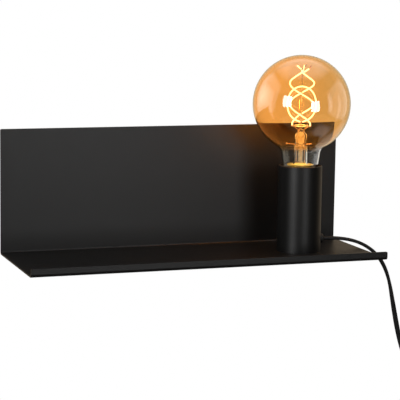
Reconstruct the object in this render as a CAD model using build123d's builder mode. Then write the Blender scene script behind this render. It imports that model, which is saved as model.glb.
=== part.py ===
from build123d import *
import os
from math import cos, pi, radians, sin, sqrt, tan

os.makedirs("parts", exist_ok=True)

# A wall shelf lamp: a folded steel shelf, a cup lampholder with a globe bulb, and a corded plug.
# +X is to the right, -Y towards the room and +Z up. The wall is the plane Y = 0, and the origin
# lies on it midway between the two wall screws. All sizes are in millimetres.

# Folded shelf
SHELF_WIDTH = 350.0
PANEL_HEIGHT = 121.0  # shelf underside to panel top
SHELF_DEPTH = 124.0  # panel front to lip front
LIP_HEIGHT = 8.0  # shelf underside to lip top
SHEET = 1.5
BEND_RADIUS = 1.5  # inside a fold
CORNER_RADIUS = 1.2  # at the ends of the panel top and lip top

# Hidden hanger
SCREW_HEIGHT = 88.0  # wall screws above the shelf underside
SCREW_SPACING = 200.0
SCREW_HOLE = 4.6
HANGER_WIDTH = 236.0
HANGER_SHEET = 1.5
HANGER_BEND = 0.8
HANGER_PLAY = 0.15  # between the two hooked strips, and to the wall and the panel
BRACKET_FOOT = 14.0  # strip below the screw line
BRACKET_FLAT = 7.0  # strip above the screw line, up to its bend
TONGUE_TOP = 21.0  # hook edge above the screw line
RAIL_REACH = 9.0  # rail tongue below the hook edge
RAIL_FLAT = 7.0  # strip welded to the panel
PAD_DIAMETER = 12.0
PAD_SPACING = 300.0
PAD_HEIGHT = 14.0  # pad centre above the shelf underside

# Cup and its fixing
CUP_FROM_END = 65.0  # cup axis from the shelf's right end
CUP_FROM_PANEL = 59.3
CUP_DIAMETER = 43.0
CUP_HEIGHT = 84.5
CUP_WALL = 1.2
CUP_FLOOR = 2.0
CUP_FOOT_RADIUS = 1.0
CUP_RIM_RADIUS = 0.4
NIPPLE_DIAMETER = 10.0
NIPPLE_BORE = 7.0
NIPPLE_END = 1.0  # thread past the outer nuts
THREAD_PLAY = 0.1  # radial, between a screw and its hole
NUT_FLATS = 14.0
NUT_HEIGHT = 3.0
WASHER_DIAMETER = 18.0
WASHER_HEIGHT = 1.0

# Lampholder
STIRRUP_BASE = 20.0  # stirrup plate above the shelf top
STIRRUP_RISE = 10.0
STIRRUP_SHEET = 1.2
STIRRUP_BEND = 0.8
STIRRUP_SPAN = 22.0  # between the legs
STIRRUP_WIDTH = 14.0
STIRRUP_MARGIN = 0.3  # round the screw heads
STIRRUP_SCREW = 3.0
STIRRUP_SCREW_HEAD = 5.0
STIRRUP_SCREW_HEAD_HEIGHT = 1.8
STIRRUP_SCREW_LENGTH = 8.0
HOLDER_DIAMETER = 35.0
HOLDER_HEIGHT = 48.3
HOLDER_FLOOR = 16.8
HOLDER_EDGE = 0.8
SHELL_BORE = 26.6
SHELL_SHEET = 0.4
SHELL_HEIGHT = 28.0
SHELL_BASE_BORE = 16.0
SHELL_SEAT_PLAY = 0.3
CONTACT_SHEET = 0.5
CONTACT_WIDTH = 6.0
CONTACT_FOOT = 4.5  # tongue lying on the holder floor
CONTACT_START = 7.0  # foot end, from the axis
CONTACT_RISE = 5.7  # holder floor to the bulb's tip
CONTACT_PLAY = 0.1
RIVET_DIAMETER = 2.4
RIVET_HEAD = 3.8
RIVET_HEAD_HEIGHT = 0.8
LIVE_RIVET = 5.2  # from the axis
NEUTRAL_RIVET = 10.5
BLOCK_LENGTH = 8.0
BLOCK_WIDTH = 6.0
BLOCK_HEIGHT = 9.0
BLOCK_PLAY = 0.2
LIVE_BLOCK = 7.2  # block centre from the axis
NEUTRAL_BLOCK = 9.0
BLOCK_HOLE_OFFSET = 2.0  # wire hole and screw either side of the block centre
TERMINAL_SCREW = 2.5
TERMINAL_HEAD = 4.2
TERMINAL_HEAD_HEIGHT = 1.5
TERMINAL_SCREW_LENGTH = 6.0
CORE_DIAMETER = 2.2
CORE_PLAY = 0.1
CORE_DEPTH = 4.0  # core inside its terminal

# Cord bush in the cup's side
GLAND_HEIGHT = 11.2  # cord axis above the shelf top
GLAND_STEM = 8.0
GLAND_FLANGE = 10.5
GLAND_FLANGE_LENGTH = 2.0
GLAND_NOSE = 7.6
GLAND_NOSE_LENGTH = 2.2
GLAND_STEM_LENGTH = 6.0
GLAND_NUT = 12.0
GLAND_NUT_LENGTH = 2.5
GLAND_PLAY = 0.05

# Bulb
GLOBE_DIAMETER = 95.0
BULB_LENGTH = 138.0
GLASS = 0.9
NECK_DIAMETER = 33.2
NECK_BLEND = 14.5  # concave radius between globe and neck
NECK_END = 26.6  # glass at the cap
CAP_DIAMETER = 26.0
CAP_LENGTH = 27.0  # tip to glass
CAP_SHEET = 0.4
CAP_TIP_DIAMETER = 9.6
CAP_TIP_HEIGHT = 1.0
INSULATOR_TOP = 20.0
INSULATOR_HEIGHT = 3.5
BOARD_HEIGHT = 17.0  # driver board above the tip
BOARD_THICKNESS = 1.2
BOARD_PLAY = 0.05
BOARD_CHIP = 12.0
BOARD_CHIP_HEIGHT = 6.0
STEM_DIAMETER = 13.6
STEM_FLARE = 3.0  # height of the flare above the neck's end
STEM_TUBE_TOP = 40.5  # below the globe centre
PINCH_SIDE = [  # from the axis, and below the globe centre
    (5.4, 38.6),
    (5.4, 35.5),
    (6.3, 31.0),
    (4.6, 28.6),
    (3.5, 26.8),
    (3.5, 25.0),
]
BULB_TRAVEL = 36.0

# Filament
STRAND_DIAMETER = 1.4
STRAND_TOP = 30.5  # above the globe centre
STRAND_BOTTOM = 18.5  # below the globe centre
STRAND_TURNS = 1.18
STRAND_FIRST_ANGLE = 71.0  # degrees from +X, at the top
STRAND_RADII = [2.9, 9.4, 12.0, 12.6, 12.4, 12.0, 11.9, 11.9, 11.8, 11.5, 10.9, 10.2, 9.4]  # going down
ARCH_TOP = 17.5  # above the globe centre
ARCH_SIDE = [  # across and up, from the globe centre
    (6.5, 15.7),
    (11.6, 10.6),
    (14.2, 2.6),
    (13.6, -5.2),
    (11.0, -11.2),
    (6.8, -15.2),
    (1.0, -17.4),
]
ARCH_ANGLE = 161.0  # degrees from +X
ARCH_CLIP = 5.0  # width of the clip that holds the arch's two ends
SUPPORT_DIAMETER = 1.0
SUPPORT_TOP = 34.0
ANCHOR_LENGTH = 6.5
ANCHOR_SPREAD = 45.0  # degrees from the upright
STRAND_STUB = 2.5  # upright ends of the strands
STRAND_PLAY = 0.02

# Cord
CORD_WIDTH = 5.3
CORD_PLAY = 0.15
CORD_END = 12.0  # sheath end inside the cup, from the cup axis
CORD_ROUTE = [  # past the shelf's end, from the cup axis to the wall, above the shelf top
    (-34.0, 0.0, 11.15),
    (-18.5, 0.05, 10.0),
    (-3.0, 0.25, 6.6),
    (10.8, 0.65, 0.1),
    (22.6, 1.15, -9.5),
    (31.2, 1.85, -22.1),
    (37.2, 2.85, -37.5),
    (41.6, 4.25, -55.5),
    (46.4, 5.85, -75.1),
    (51.8, 7.45, -95.1),
    (58.2, 8.9, -112.8),
    (66.2, 10.2, -129.6),
]
RUN_SHARE = 0.45  # of the shorter run, taken up by each arc
COIL_RADIUS = 42.0  # outermost turn
COIL_TURNS = 4  # in each of two layers
COIL_GAP = 0.6
COIL_STEP = 3.0  # between the points at which the gap is measured
CLIMB_INSET = 1.6  # the climbing half turn lies this much further in
TIE_WIDTH = 10.0
TIE_SHEET = 0.9
TIE_PLAY = 0.25

# Cord switch
SWITCH_LENGTH = 62.0
SWITCH_WIDTH = 24.0
SWITCH_FRONT = 8.5  # depth of the front shell
SWITCH_BACK = 7.5
SWITCH_CORNER = 10.0
SWITCH_EDGE = 2.5
SWITCH_WALL = 1.8
SWITCH_PAST_END = 74.0  # switch axis from the shelf's right end
SWITCH_TO_WALL = 10.85  # and from the cup axis towards the wall
SWITCH_DROP = 158.0  # top of the switch below the shelf top
SWITCH_LEAD = 12.0  # cord's last bend above the switch
CORD_GRIP = 6.0  # cord inside the switch
ROCKER_WIDTH = 10.0
ROCKER_RADIUS = 9.0
ROCKER_CORNER = 34.6  # degrees from the split line to the key's corner
ROCKER_DISH = 0.6
ROCKER_KEEL = 1.0
ROCKER_TILT = 8.0  # degrees each way
ROCKER_GAP = 0.4
PIVOT_HEIGHT = 3.0  # in front of the split line
PIVOT_DIAMETER = 2.5
PIVOT_PLAY = 0.06
EAR_WIDTH = 2.0
EAR_LENGTH = 7.0
EAR_FOOT = 1.0  # ear end in front of the split line
BOSS_DIAMETER = 5.4
BOSS_X = 6.6
BOSS_Z = 20.0
SWITCH_SCREW = 2.5
SWITCH_SCREW_HEAD = 4.4
SWITCH_SCREW_SINK = 1.6
SWITCH_SCREW_LENGTH = 10.0
CLIP_LENGTH = 8.0
CLIP_WIDTH = 7.0
CLIP_HEIGHT = 4.6
CLIP_OFFSET = 14.0

# Tail and plug
COIL_DROP = 32.0  # coil centre below the switch
TAIL_LENGTH = 28.0  # coil centre to plug
PLUG_WIDTH = 35.0
PLUG_THICKNESS = 14.0
PLUG_FACE_LENGTH = 12.0
PLUG_BODY_LENGTH = 34.0
PLUG_NECK_LENGTH = 22.0
PLUG_NECK = 9.0
PLUG_NECK_TIP = 7.2
PLUG_EDGE = 3.0
PIN_SPACING = 18.6
PIN_DIAMETER = 4.0
PIN_LENGTH = 19.0
SLEEVE_LENGTH = 10.0
SLEEVE_DIAMETER = 3.8
PIN_CORE = 3.0  # pin inside its sleeve

# Places worked out from the sizes above
STANDOFF = 2 * HANGER_SHEET + 3 * HANGER_PLAY
JOG = HANGER_SHEET + 2 * HANGER_PLAY
PANEL_FRONT = -(STANDOFF + SHEET)
SHELF_BOTTOM = -SCREW_HEIGHT
SHELF_TOP = SHELF_BOTTOM + SHEET
PANEL_TOP = SHELF_BOTTOM + PANEL_HEIGHT
LIP_TOP = SHELF_BOTTOM + LIP_HEIGHT
LIP_BACK = PANEL_FRONT - SHELF_DEPTH + SHEET
SHELF_END = SHELF_WIDTH / 2
CUP_X = SHELF_END - CUP_FROM_END
CUP_Y = PANEL_FRONT - CUP_FROM_PANEL
CUP_RADIUS = CUP_DIAMETER / 2
CUP_BORE = CUP_RADIUS - CUP_WALL

# Heights from here to the bulb are measured from the shelf top, on the cup's axis
STIRRUP_TOP = STIRRUP_BASE + STIRRUP_RISE + STIRRUP_SHEET
HOLDER_SEAT = STIRRUP_TOP + HOLDER_FLOOR
HOLDER_TOP = STIRRUP_TOP + HOLDER_HEIGHT
CAP_TIP = HOLDER_SEAT + CONTACT_RISE
CAP_BOTTOM = CAP_TIP + CAP_TIP_HEIGHT + INSULATOR_HEIGHT
CAP_TOP = CAP_TIP + CAP_LENGTH
GLOBE_RADIUS = GLOBE_DIAMETER / 2
GLOBE_CENTRE = CAP_TIP + BULB_LENGTH - GLOBE_RADIUS
SHELL_OUTER = SHELL_BORE / 2 + SHELL_SHEET
SWITCH_X = SHELF_END + SWITCH_PAST_END
SWITCH_Y = CUP_Y + SWITCH_TO_WALL
SWITCH_TOP = SHELF_TOP - SWITCH_DROP

CUP_AXIS = Axis((CUP_X, CUP_Y, SHELF_TOP), (0, 0, 1))
CUP_FACE = Plane((CUP_X, CUP_Y, SHELF_TOP), x_dir=(1, 0, 0), z_dir=(0, -1, 0))
CUP_SIDE = Plane((CUP_X, CUP_Y, SHELF_TOP), x_dir=(0, 1, 0), z_dir=(1, 0, 0))
GLAND_AXIS = Axis((CUP_X, CUP_Y, SHELF_TOP + GLAND_HEIGHT), (1, 0, 0))
GLAND_FACE = Plane(GLAND_AXIS.position, x_dir=(1, 0, 0), z_dir=(0, -1, 0))


def level(height):
    """A horizontal plane on the cup's axis, at a height above the shelf top."""
    return Plane((CUP_X, CUP_Y, SHELF_TOP + height))


def on_axis(x, y, height):
    """A point given from the cup's axis and the shelf top."""
    return Vector(CUP_X + x, CUP_Y + y, SHELF_TOP + height)


def bend_radii(points):
    """The largest arc that fits at each inner point of a route."""
    radii = []
    for before, here, after in zip(points, points[1:], points[2:]):
        first = Vector(here) - Vector(before)
        second = Vector(after) - Vector(here)
        half_turn = radians(first.get_angle(second)) / 2
        radii.append(RUN_SHARE * min(first.length, second.length) / tan(half_turn))
    return radii


# The folded shelf: panel, shelf and upturned lip in one sheet
with BuildPart() as shelf_body:
    with BuildSketch(Plane.YZ):
        with BuildLine():
            FilletPolyline(
                (PANEL_FRONT, PANEL_TOP),
                (PANEL_FRONT, SHELF_TOP),
                (LIP_BACK, SHELF_TOP),
                (LIP_BACK, LIP_TOP),
                radius=BEND_RADIUS,
            )
            offset(amount=SHEET, side=Side.LEFT)
        make_face()
    extrude(amount=SHELF_END, both=True)
    corners = shelf_body.edges().filter_by(Axis.Y).filter_by(lambda edge: edge.length < 2 * SHEET)
    fillet(corners, CORNER_RADIUS)
    with Locations(level(0)):
        Hole(NIPPLE_DIAMETER / 2 + THREAD_PLAY)

# The hanger: a strip on the wall, and the rail behind the panel that hooks over it
with BuildPart() as wall_bracket:
    with BuildSketch(Plane.YZ):
        with BuildLine():
            FilletPolyline(
                (0, -BRACKET_FOOT),
                (0, BRACKET_FLAT),
                (-JOG, BRACKET_FLAT + JOG),
                (-JOG, TONGUE_TOP),
                radius=HANGER_BEND,
            )
            offset(amount=HANGER_SHEET, side=Side.LEFT)
        make_face()
    extrude(amount=HANGER_WIDTH / 2, both=True)
    with BuildSketch(Plane.XZ):
        with GridLocations(SCREW_SPACING, 0, 2, 1):
            Circle(SCREW_HOLE / 2)
    extrude(amount=HANGER_SHEET, mode=Mode.SUBTRACT)

RAIL_BEND = TONGUE_TOP + JOG + HANGER_PLAY
with BuildPart() as hanger_rail:
    with BuildSketch(Plane.YZ):
        with BuildLine():
            FilletPolyline(
                (-STANDOFF, RAIL_BEND + RAIL_FLAT),
                (-STANDOFF, RAIL_BEND),
                (JOG - STANDOFF, RAIL_BEND - JOG),
                (JOG - STANDOFF, TONGUE_TOP - RAIL_REACH),
                radius=HANGER_BEND,
            )
            offset(amount=HANGER_SHEET, side=Side.LEFT)
        make_face()
    extrude(amount=HANGER_WIDTH / 2, both=True)

with BuildPart() as wall_pads:
    with BuildSketch(Plane.XZ):
        with Locations((0, SHELF_BOTTOM + PAD_HEIGHT)):
            with GridLocations(PAD_SPACING, 0, 2, 1):
                Circle(PAD_DIAMETER / 2)
    extrude(amount=STANDOFF)

# The cup, turned about its axis, with a side hole for the cord bush
with BuildPart() as holder_cup:
    with BuildSketch(CUP_FACE) as cup_section:
        with BuildLine():
            Polyline(
                (NIPPLE_DIAMETER / 2 + THREAD_PLAY, 0),
                (CUP_RADIUS, 0),
                (CUP_RADIUS, CUP_HEIGHT),
                (CUP_BORE, CUP_HEIGHT),
                (CUP_BORE, CUP_FLOOR),
                (NIPPLE_DIAMETER / 2 + THREAD_PLAY, CUP_FLOOR),
                close=True,
            )
        make_face()
        outer_corners = cup_section.vertices().group_by(Axis.X)[-1].sort_by(Axis.Z)
        fillet(outer_corners[0], CUP_FOOT_RADIUS)
        fillet(outer_corners[-1], CUP_RIM_RADIUS)
    revolve(axis=CUP_AXIS)
    with BuildSketch(CUP_SIDE):
        with Locations((0, GLAND_HEIGHT)):
            Circle(GLAND_STEM / 2 + THREAD_PLAY)
    extrude(amount=CUP_RADIUS, mode=Mode.SUBTRACT)

# The fixing: nipple, nuts and washer
NUT_BOTTOMS = [
    -SHEET - WASHER_HEIGHT - NUT_HEIGHT,
    CUP_FLOOR,
    STIRRUP_BASE - NUT_HEIGHT,
    STIRRUP_BASE + STIRRUP_SHEET,
]
with BuildPart() as nipple:
    with BuildSketch(level(NUT_BOTTOMS[0] - NIPPLE_END)):
        Circle(NIPPLE_DIAMETER / 2)
        Circle(NIPPLE_BORE / 2, mode=Mode.SUBTRACT)
    extrude(amount=NUT_BOTTOMS[-1] - NUT_BOTTOMS[0] + NUT_HEIGHT + 2 * NIPPLE_END)

with BuildPart() as nipple_nuts:
    for nut_bottom in NUT_BOTTOMS:
        with BuildSketch(level(nut_bottom)):
            RegularPolygon(NUT_FLATS / 2, 6, major_radius=False)
            Circle(NIPPLE_DIAMETER / 2 + THREAD_PLAY, mode=Mode.SUBTRACT)
        extrude(amount=NUT_HEIGHT)

with BuildPart() as lock_washer:
    with BuildSketch(level(-SHEET - WASHER_HEIGHT)):
        Circle(WASHER_DIAMETER / 2)
        Circle(NIPPLE_DIAMETER / 2 + THREAD_PLAY, mode=Mode.SUBTRACT)
    extrude(amount=WASHER_HEIGHT)

# The stirrup: a folded strip between the nipple and the ceramic holder
STIRRUP_SCREW_X = STIRRUP_SPAN / 2 + STIRRUP_BEND + STIRRUP_MARGIN + STIRRUP_SCREW_HEAD / 2
STIRRUP_REACH = STIRRUP_SCREW_X + STIRRUP_SCREW_HEAD / 2 + STIRRUP_MARGIN
STIRRUP_OUTER_BEND = STIRRUP_BEND + STIRRUP_SHEET
with BuildPart() as stirrup:
    with BuildSketch(CUP_FACE):
        with BuildLine():
            FilletPolyline(
                (-STIRRUP_REACH, STIRRUP_BASE + STIRRUP_RISE),
                (-STIRRUP_SPAN / 2, STIRRUP_BASE + STIRRUP_RISE),
                (-STIRRUP_SPAN / 2, STIRRUP_BASE),
                (STIRRUP_SPAN / 2, STIRRUP_BASE),
                (STIRRUP_SPAN / 2, STIRRUP_BASE + STIRRUP_RISE),
                (STIRRUP_REACH, STIRRUP_BASE + STIRRUP_RISE),
                radius=[STIRRUP_BEND, STIRRUP_OUTER_BEND, STIRRUP_OUTER_BEND, STIRRUP_BEND],
            )
            offset(amount=STIRRUP_SHEET, side=Side.LEFT)
        make_face()
    extrude(amount=STIRRUP_WIDTH / 2, both=True)
    with Locations(level(STIRRUP_TOP)):
        Hole(NIPPLE_DIAMETER / 2 + THREAD_PLAY)
        with GridLocations(2 * STIRRUP_SCREW_X, 0, 2, 1):
            Hole(STIRRUP_SCREW / 2 + THREAD_PLAY)

with BuildPart() as stirrup_screws:
    with Locations(level(STIRRUP_TOP - STIRRUP_SHEET)):
        with GridLocations(2 * STIRRUP_SCREW_X, 0, 2, 1):
            Cylinder(
                STIRRUP_SCREW_HEAD / 2,
                STIRRUP_SCREW_HEAD_HEIGHT,
                align=(Align.CENTER, Align.CENTER, Align.MAX),
            )
            Cylinder(
                STIRRUP_SCREW / 2,
                STIRRUP_SCREW_LENGTH,
                align=(Align.CENTER, Align.CENTER, Align.MIN),
            )

# The ceramic holder, with pockets for the terminals and holes for screws and rivets
BLOCK_CENTRES = [-LIVE_BLOCK, NEUTRAL_BLOCK]
RIVET_CENTRES = [-LIVE_RIVET, NEUTRAL_RIVET]
with BuildPart() as holder_body:
    with BuildSketch(level(STIRRUP_TOP)):
        Circle(HOLDER_DIAMETER / 2)
    extrude(amount=HOLDER_HEIGHT)
    with BuildSketch(level(HOLDER_SEAT)):
        Circle(SHELL_OUTER + SHELL_SEAT_PLAY)
    extrude(amount=HOLDER_HEIGHT, mode=Mode.SUBTRACT)
    rims = holder_body.edges().group_by(Axis.Z)[-1]
    fillet(rims, HOLDER_EDGE)
    with BuildSketch(level(STIRRUP_TOP)):
        with Locations(*[(0, y) for y in BLOCK_CENTRES]):
            Rectangle(BLOCK_LENGTH + 2 * BLOCK_PLAY, BLOCK_WIDTH + 2 * BLOCK_PLAY)
    extrude(amount=BLOCK_HEIGHT, mode=Mode.SUBTRACT)
    with BuildSketch(level(STIRRUP_TOP)):
        with GridLocations(2 * STIRRUP_SCREW_X, 0, 2, 1):
            Circle(STIRRUP_SCREW / 2 + THREAD_PLAY)
    extrude(amount=STIRRUP_SCREW_LENGTH, mode=Mode.SUBTRACT)
    with BuildSketch(level(STIRRUP_TOP + BLOCK_HEIGHT)):
        with Locations(*[(0, y) for y in RIVET_CENTRES]):
            Circle(RIVET_DIAMETER / 2 + THREAD_PLAY)
    extrude(amount=HOLDER_FLOOR, mode=Mode.SUBTRACT)

# The E27 shell, turned from a thin section, with a hole for its rivet
with BuildPart() as screw_shell:
    with BuildSketch(CUP_FACE):
        with BuildLine():
            Polyline(
                (SHELL_BASE_BORE / 2, HOLDER_SEAT),
                (SHELL_OUTER, HOLDER_SEAT),
                (SHELL_OUTER, HOLDER_SEAT + SHELL_HEIGHT),
                (SHELL_OUTER - SHELL_SHEET, HOLDER_SEAT + SHELL_HEIGHT),
                (SHELL_OUTER - SHELL_SHEET, HOLDER_SEAT + SHELL_SHEET),
                (SHELL_BASE_BORE / 2, HOLDER_SEAT + SHELL_SHEET),
                close=True,
            )
        make_face()
    revolve(axis=CUP_AXIS)
    with BuildSketch(level(HOLDER_SEAT)):
        with Locations((0, NEUTRAL_RIVET)):
            Circle(RIVET_DIAMETER / 2 + THREAD_PLAY)
    extrude(amount=SHELL_SHEET, mode=Mode.SUBTRACT)

# The centre contact: a tongue that lies on the holder floor and rises to the bulb's tip
CONTACT_TOP = CAP_TIP - CONTACT_PLAY - CONTACT_SHEET
with BuildPart() as centre_contact:
    with BuildSketch(CUP_SIDE):
        with BuildLine():
            FilletPolyline(
                (-CONTACT_START, HOLDER_SEAT),
                (CONTACT_FOOT - CONTACT_START, HOLDER_SEAT),
                (CONTACT_START - CONTACT_FOOT, CONTACT_TOP),
                (CONTACT_FOOT, CONTACT_TOP),
                radius=CONTACT_SHEET,
            )
            offset(amount=CONTACT_SHEET, side=Side.LEFT)
        make_face()
    extrude(amount=CONTACT_WIDTH / 2, both=True)
    with Locations(level(HOLDER_SEAT + CONTACT_SHEET)):
        with Locations((0, -LIVE_RIVET)):
            Hole(RIVET_DIAMETER / 2 + THREAD_PLAY)

with BuildPart() as contact_rivets:
    for centre, seat in zip(RIVET_CENTRES, [CONTACT_SHEET, SHELL_SHEET]):
        with BuildSketch(level(STIRRUP_TOP + BLOCK_HEIGHT)):
            with Locations((0, centre)):
                Circle(RIVET_DIAMETER / 2)
        extrude(amount=HOLDER_FLOOR - BLOCK_HEIGHT + seat)
        with BuildSketch(level(HOLDER_SEAT + seat)):
            with Locations((0, centre)):
                Circle(RIVET_HEAD / 2)
        extrude(amount=RIVET_HEAD_HEIGHT)

# The wire terminals and their screws
with BuildPart() as terminal_blocks:
    with BuildSketch(level(STIRRUP_TOP)):
        with Locations(*[(0, y) for y in BLOCK_CENTRES]):
            Rectangle(BLOCK_LENGTH, BLOCK_WIDTH)
    extrude(amount=BLOCK_HEIGHT)
    with BuildSketch(level(STIRRUP_TOP)):
        with Locations(*[(-BLOCK_HOLE_OFFSET, y) for y in BLOCK_CENTRES]):
            Circle(CORE_DIAMETER / 2 + CORE_PLAY)
    extrude(amount=CORE_DEPTH, mode=Mode.SUBTRACT)
    with BuildSketch(level(STIRRUP_TOP)):
        with Locations(*[(BLOCK_HOLE_OFFSET, y) for y in BLOCK_CENTRES]):
            Circle(TERMINAL_SCREW / 2 + THREAD_PLAY)
    extrude(amount=TERMINAL_SCREW_LENGTH, mode=Mode.SUBTRACT)

with BuildPart() as terminal_screws:
    with Locations(level(STIRRUP_TOP)):
        with Locations(*[(BLOCK_HOLE_OFFSET, y) for y in BLOCK_CENTRES]):
            Cylinder(
                TERMINAL_HEAD / 2,
                TERMINAL_HEAD_HEIGHT,
                align=(Align.CENTER, Align.CENTER, Align.MAX),
            )
            Cylinder(
                TERMINAL_SCREW / 2,
                TERMINAL_SCREW_LENGTH,
                align=(Align.CENTER, Align.CENTER, Align.MIN),
            )

# The cord bush: a flange saddled on the cup, a nose, and a stem with a nut inside the cup
GLAND_BORE = CORD_WIDTH / 2 + CORD_PLAY
STEM_START = CUP_BORE - GLAND_STEM_LENGTH + CUP_WALL
with BuildPart() as cord_gland:
    with BuildSketch(GLAND_FACE):
        with BuildLine():
            Polyline(
                (CUP_BORE, GLAND_BORE),
                (CUP_RADIUS + GLAND_FLANGE_LENGTH + GLAND_NOSE_LENGTH, GLAND_BORE),
                (CUP_RADIUS + GLAND_FLANGE_LENGTH + GLAND_NOSE_LENGTH, GLAND_NOSE / 2),
                (CUP_RADIUS + GLAND_FLANGE_LENGTH, GLAND_FLANGE / 2),
                (CUP_BORE, GLAND_FLANGE / 2),
                close=True,
            )
        make_face()
    revolve(axis=GLAND_AXIS)
    with Locations(level(0)):
        Cylinder(
            CUP_RADIUS + GLAND_PLAY,
            CUP_HEIGHT,
            align=(Align.CENTER, Align.CENTER, Align.MIN),
            mode=Mode.SUBTRACT,
        )
    with BuildSketch(GLAND_FACE):
        with Locations((STEM_START, GLAND_BORE)):
            Rectangle(
                CUP_RADIUS + GLAND_FLANGE_LENGTH - STEM_START,
                GLAND_STEM / 2 - GLAND_BORE,
                align=(Align.MIN, Align.MIN),
            )
    revolve(axis=GLAND_AXIS)

GLAND_NUT_FACE = sqrt(CUP_BORE**2 - (GLAND_NUT / 2) ** 2) - GLAND_PLAY
with BuildPart() as gland_nut:
    with BuildSketch(CUP_SIDE.offset(GLAND_NUT_FACE - GLAND_NUT_LENGTH)):
        with Locations((0, GLAND_HEIGHT)):
            Circle(GLAND_NUT / 2)
            Circle(GLAND_STEM / 2 + THREAD_PLAY, mode=Mode.SUBTRACT)
    extrude(amount=GLAND_NUT_LENGTH)


def core_path(side, block):
    """The route of one core, from the cord's sheath round the nipple to its terminal."""
    pitch = CORD_WIDTH / 4
    return [
        on_axis(CORD_END, side * pitch, GLAND_HEIGHT),
        on_axis(CORD_END - 2.4, side * pitch, GLAND_HEIGHT),
        on_axis(CORD_END - 4.6, side * 4.6, GLAND_HEIGHT + 1.2),
        on_axis(CORD_END - 5.8, side * 9.8, STIRRUP_BASE - NUT_HEIGHT),
        on_axis(0.5, side * 12.0, STIRRUP_BASE + 3.5),
        on_axis(-BLOCK_HOLE_OFFSET, block, STIRRUP_TOP - 3.5),
        on_axis(-BLOCK_HOLE_OFFSET, block, STIRRUP_TOP + CORE_DEPTH),
    ]


def core(points):
    """One insulated core swept along its route."""
    with BuildPart() as wire:
        with BuildLine() as path:
            FilletPolyline(*points, radius=bend_radii(points))
        with BuildSketch(path.line ^ 0):
            Circle(CORE_DIAMETER / 2)
        sweep()
    return wire


live_core = core(core_path(-1, -LIVE_BLOCK))
neutral_core = core(core_path(1, NEUTRAL_BLOCK))


def globe_section(inset):
    """Half the section of the globe and its neck, drawn inside the glass by an inset."""
    radius = GLOBE_RADIUS - inset
    neck = NECK_DIAMETER / 2 - inset
    blend = NECK_BLEND + inset
    end = NECK_END / 2 - inset
    drop = sqrt((radius + blend) ** 2 - (neck + blend) ** 2)
    meet = radius / (radius + blend)
    blend_end = GLOBE_CENTRE - drop
    turn = neck - end
    top = Vector(0, GLOBE_CENTRE + radius)
    tangent = Vector(meet * (neck + blend), GLOBE_CENTRE - meet * drop)
    ThreePointArc(top, (radius, GLOBE_CENTRE), tangent)
    RadiusArc(tangent, (neck, blend_end), -blend)
    Line((neck, blend_end), (neck, CAP_TOP + turn))
    Line((neck, CAP_TOP + turn), (end, CAP_TOP))
    Line((end, CAP_TOP), (0, CAP_TOP))
    Line((0, CAP_TOP), top)


# The bulb's glass: globe and neck, hollow
with BuildPart() as bulb_globe:
    with BuildSketch(CUP_FACE):
        with BuildLine():
            globe_section(0)
        make_face()
    revolve(axis=CUP_AXIS)
    with BuildSketch(CUP_FACE):
        with BuildLine():
            globe_section(GLASS)
        make_face()
    revolve(axis=CUP_AXIS, mode=Mode.SUBTRACT)

# The stem inside the bulb: a flared tube and the pinch that holds the wires
FLARE_RADIUS = NECK_END / 2 - GLASS
PINCH_TOP = PINCH_SIDE[-1][1]
with BuildPart() as bulb_stem:
    with BuildSketch(CUP_FACE):
        with BuildLine():
            Polyline(
                (0, CAP_TOP),
                (FLARE_RADIUS, CAP_TOP),
                (FLARE_RADIUS + GLASS, CAP_TOP + GLASS),
                (STEM_DIAMETER / 2, CAP_TOP + STEM_FLARE),
                (STEM_DIAMETER / 2, GLOBE_CENTRE - STEM_TUBE_TOP),
                *[(out, GLOBE_CENTRE - below) for out, below in PINCH_SIDE],
                (0, GLOBE_CENTRE - PINCH_TOP),
                close=True,
            )
        make_face()
    revolve(axis=CUP_AXIS)


ARCH_FORWARD = STRAND_DIAMETER / 2 + SUPPORT_DIAMETER / 2 + STRAND_PLAY
CROWN_RADIUS = STRAND_RADII[0]
RING_RADIUS = STRAND_RADII[-1]
STRAND_HEIGHT = STRAND_TOP + STRAND_BOTTOM


def strand_points(first_angle):
    """A filament strand: the spiral opens from the top, draws in below, and has upright ends."""
    points = []
    for step, radius in enumerate(STRAND_RADII):
        share = step / (len(STRAND_RADII) - 1)
        angle = radians(first_angle + 360 * STRAND_TURNS * share)
        height = GLOBE_CENTRE + STRAND_TOP - share * STRAND_HEIGHT
        points.append(on_axis(radius * cos(angle), radius * sin(angle), height))
    stub = Vector(0, 0, STRAND_STUB)
    return [points[0] + stub] + points + [points[-1] - stub]


def strand(points):
    """One soft filament swept along its points."""
    with BuildPart() as filament:
        with BuildLine() as path:
            FilletPolyline(*points, radius=bend_radii(points))
        with BuildSketch(path.line ^ 0):
            Circle(STRAND_DIAMETER / 2)
        sweep()
    return filament


def arch_point(across, height):
    """A point of the arch, in an upright plane just in front of the centre wire."""
    angle = radians(ARCH_ANGLE)
    x = across * cos(angle) - ARCH_FORWARD * sin(angle)
    y = across * sin(angle) + ARCH_FORWARD * cos(angle)
    return on_axis(x, y, GLOBE_CENTRE + height)


filament_left = strand(strand_points(STRAND_FIRST_ANGLE))
filament_right = strand(strand_points(STRAND_FIRST_ANGLE + 180))
filament_arch = strand(
    [arch_point(across, height) for across, height in reversed(ARCH_SIDE)]
    + [arch_point(0, ARCH_TOP)]
    + [arch_point(-across, height) for across, height in ARCH_SIDE]
)

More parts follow.
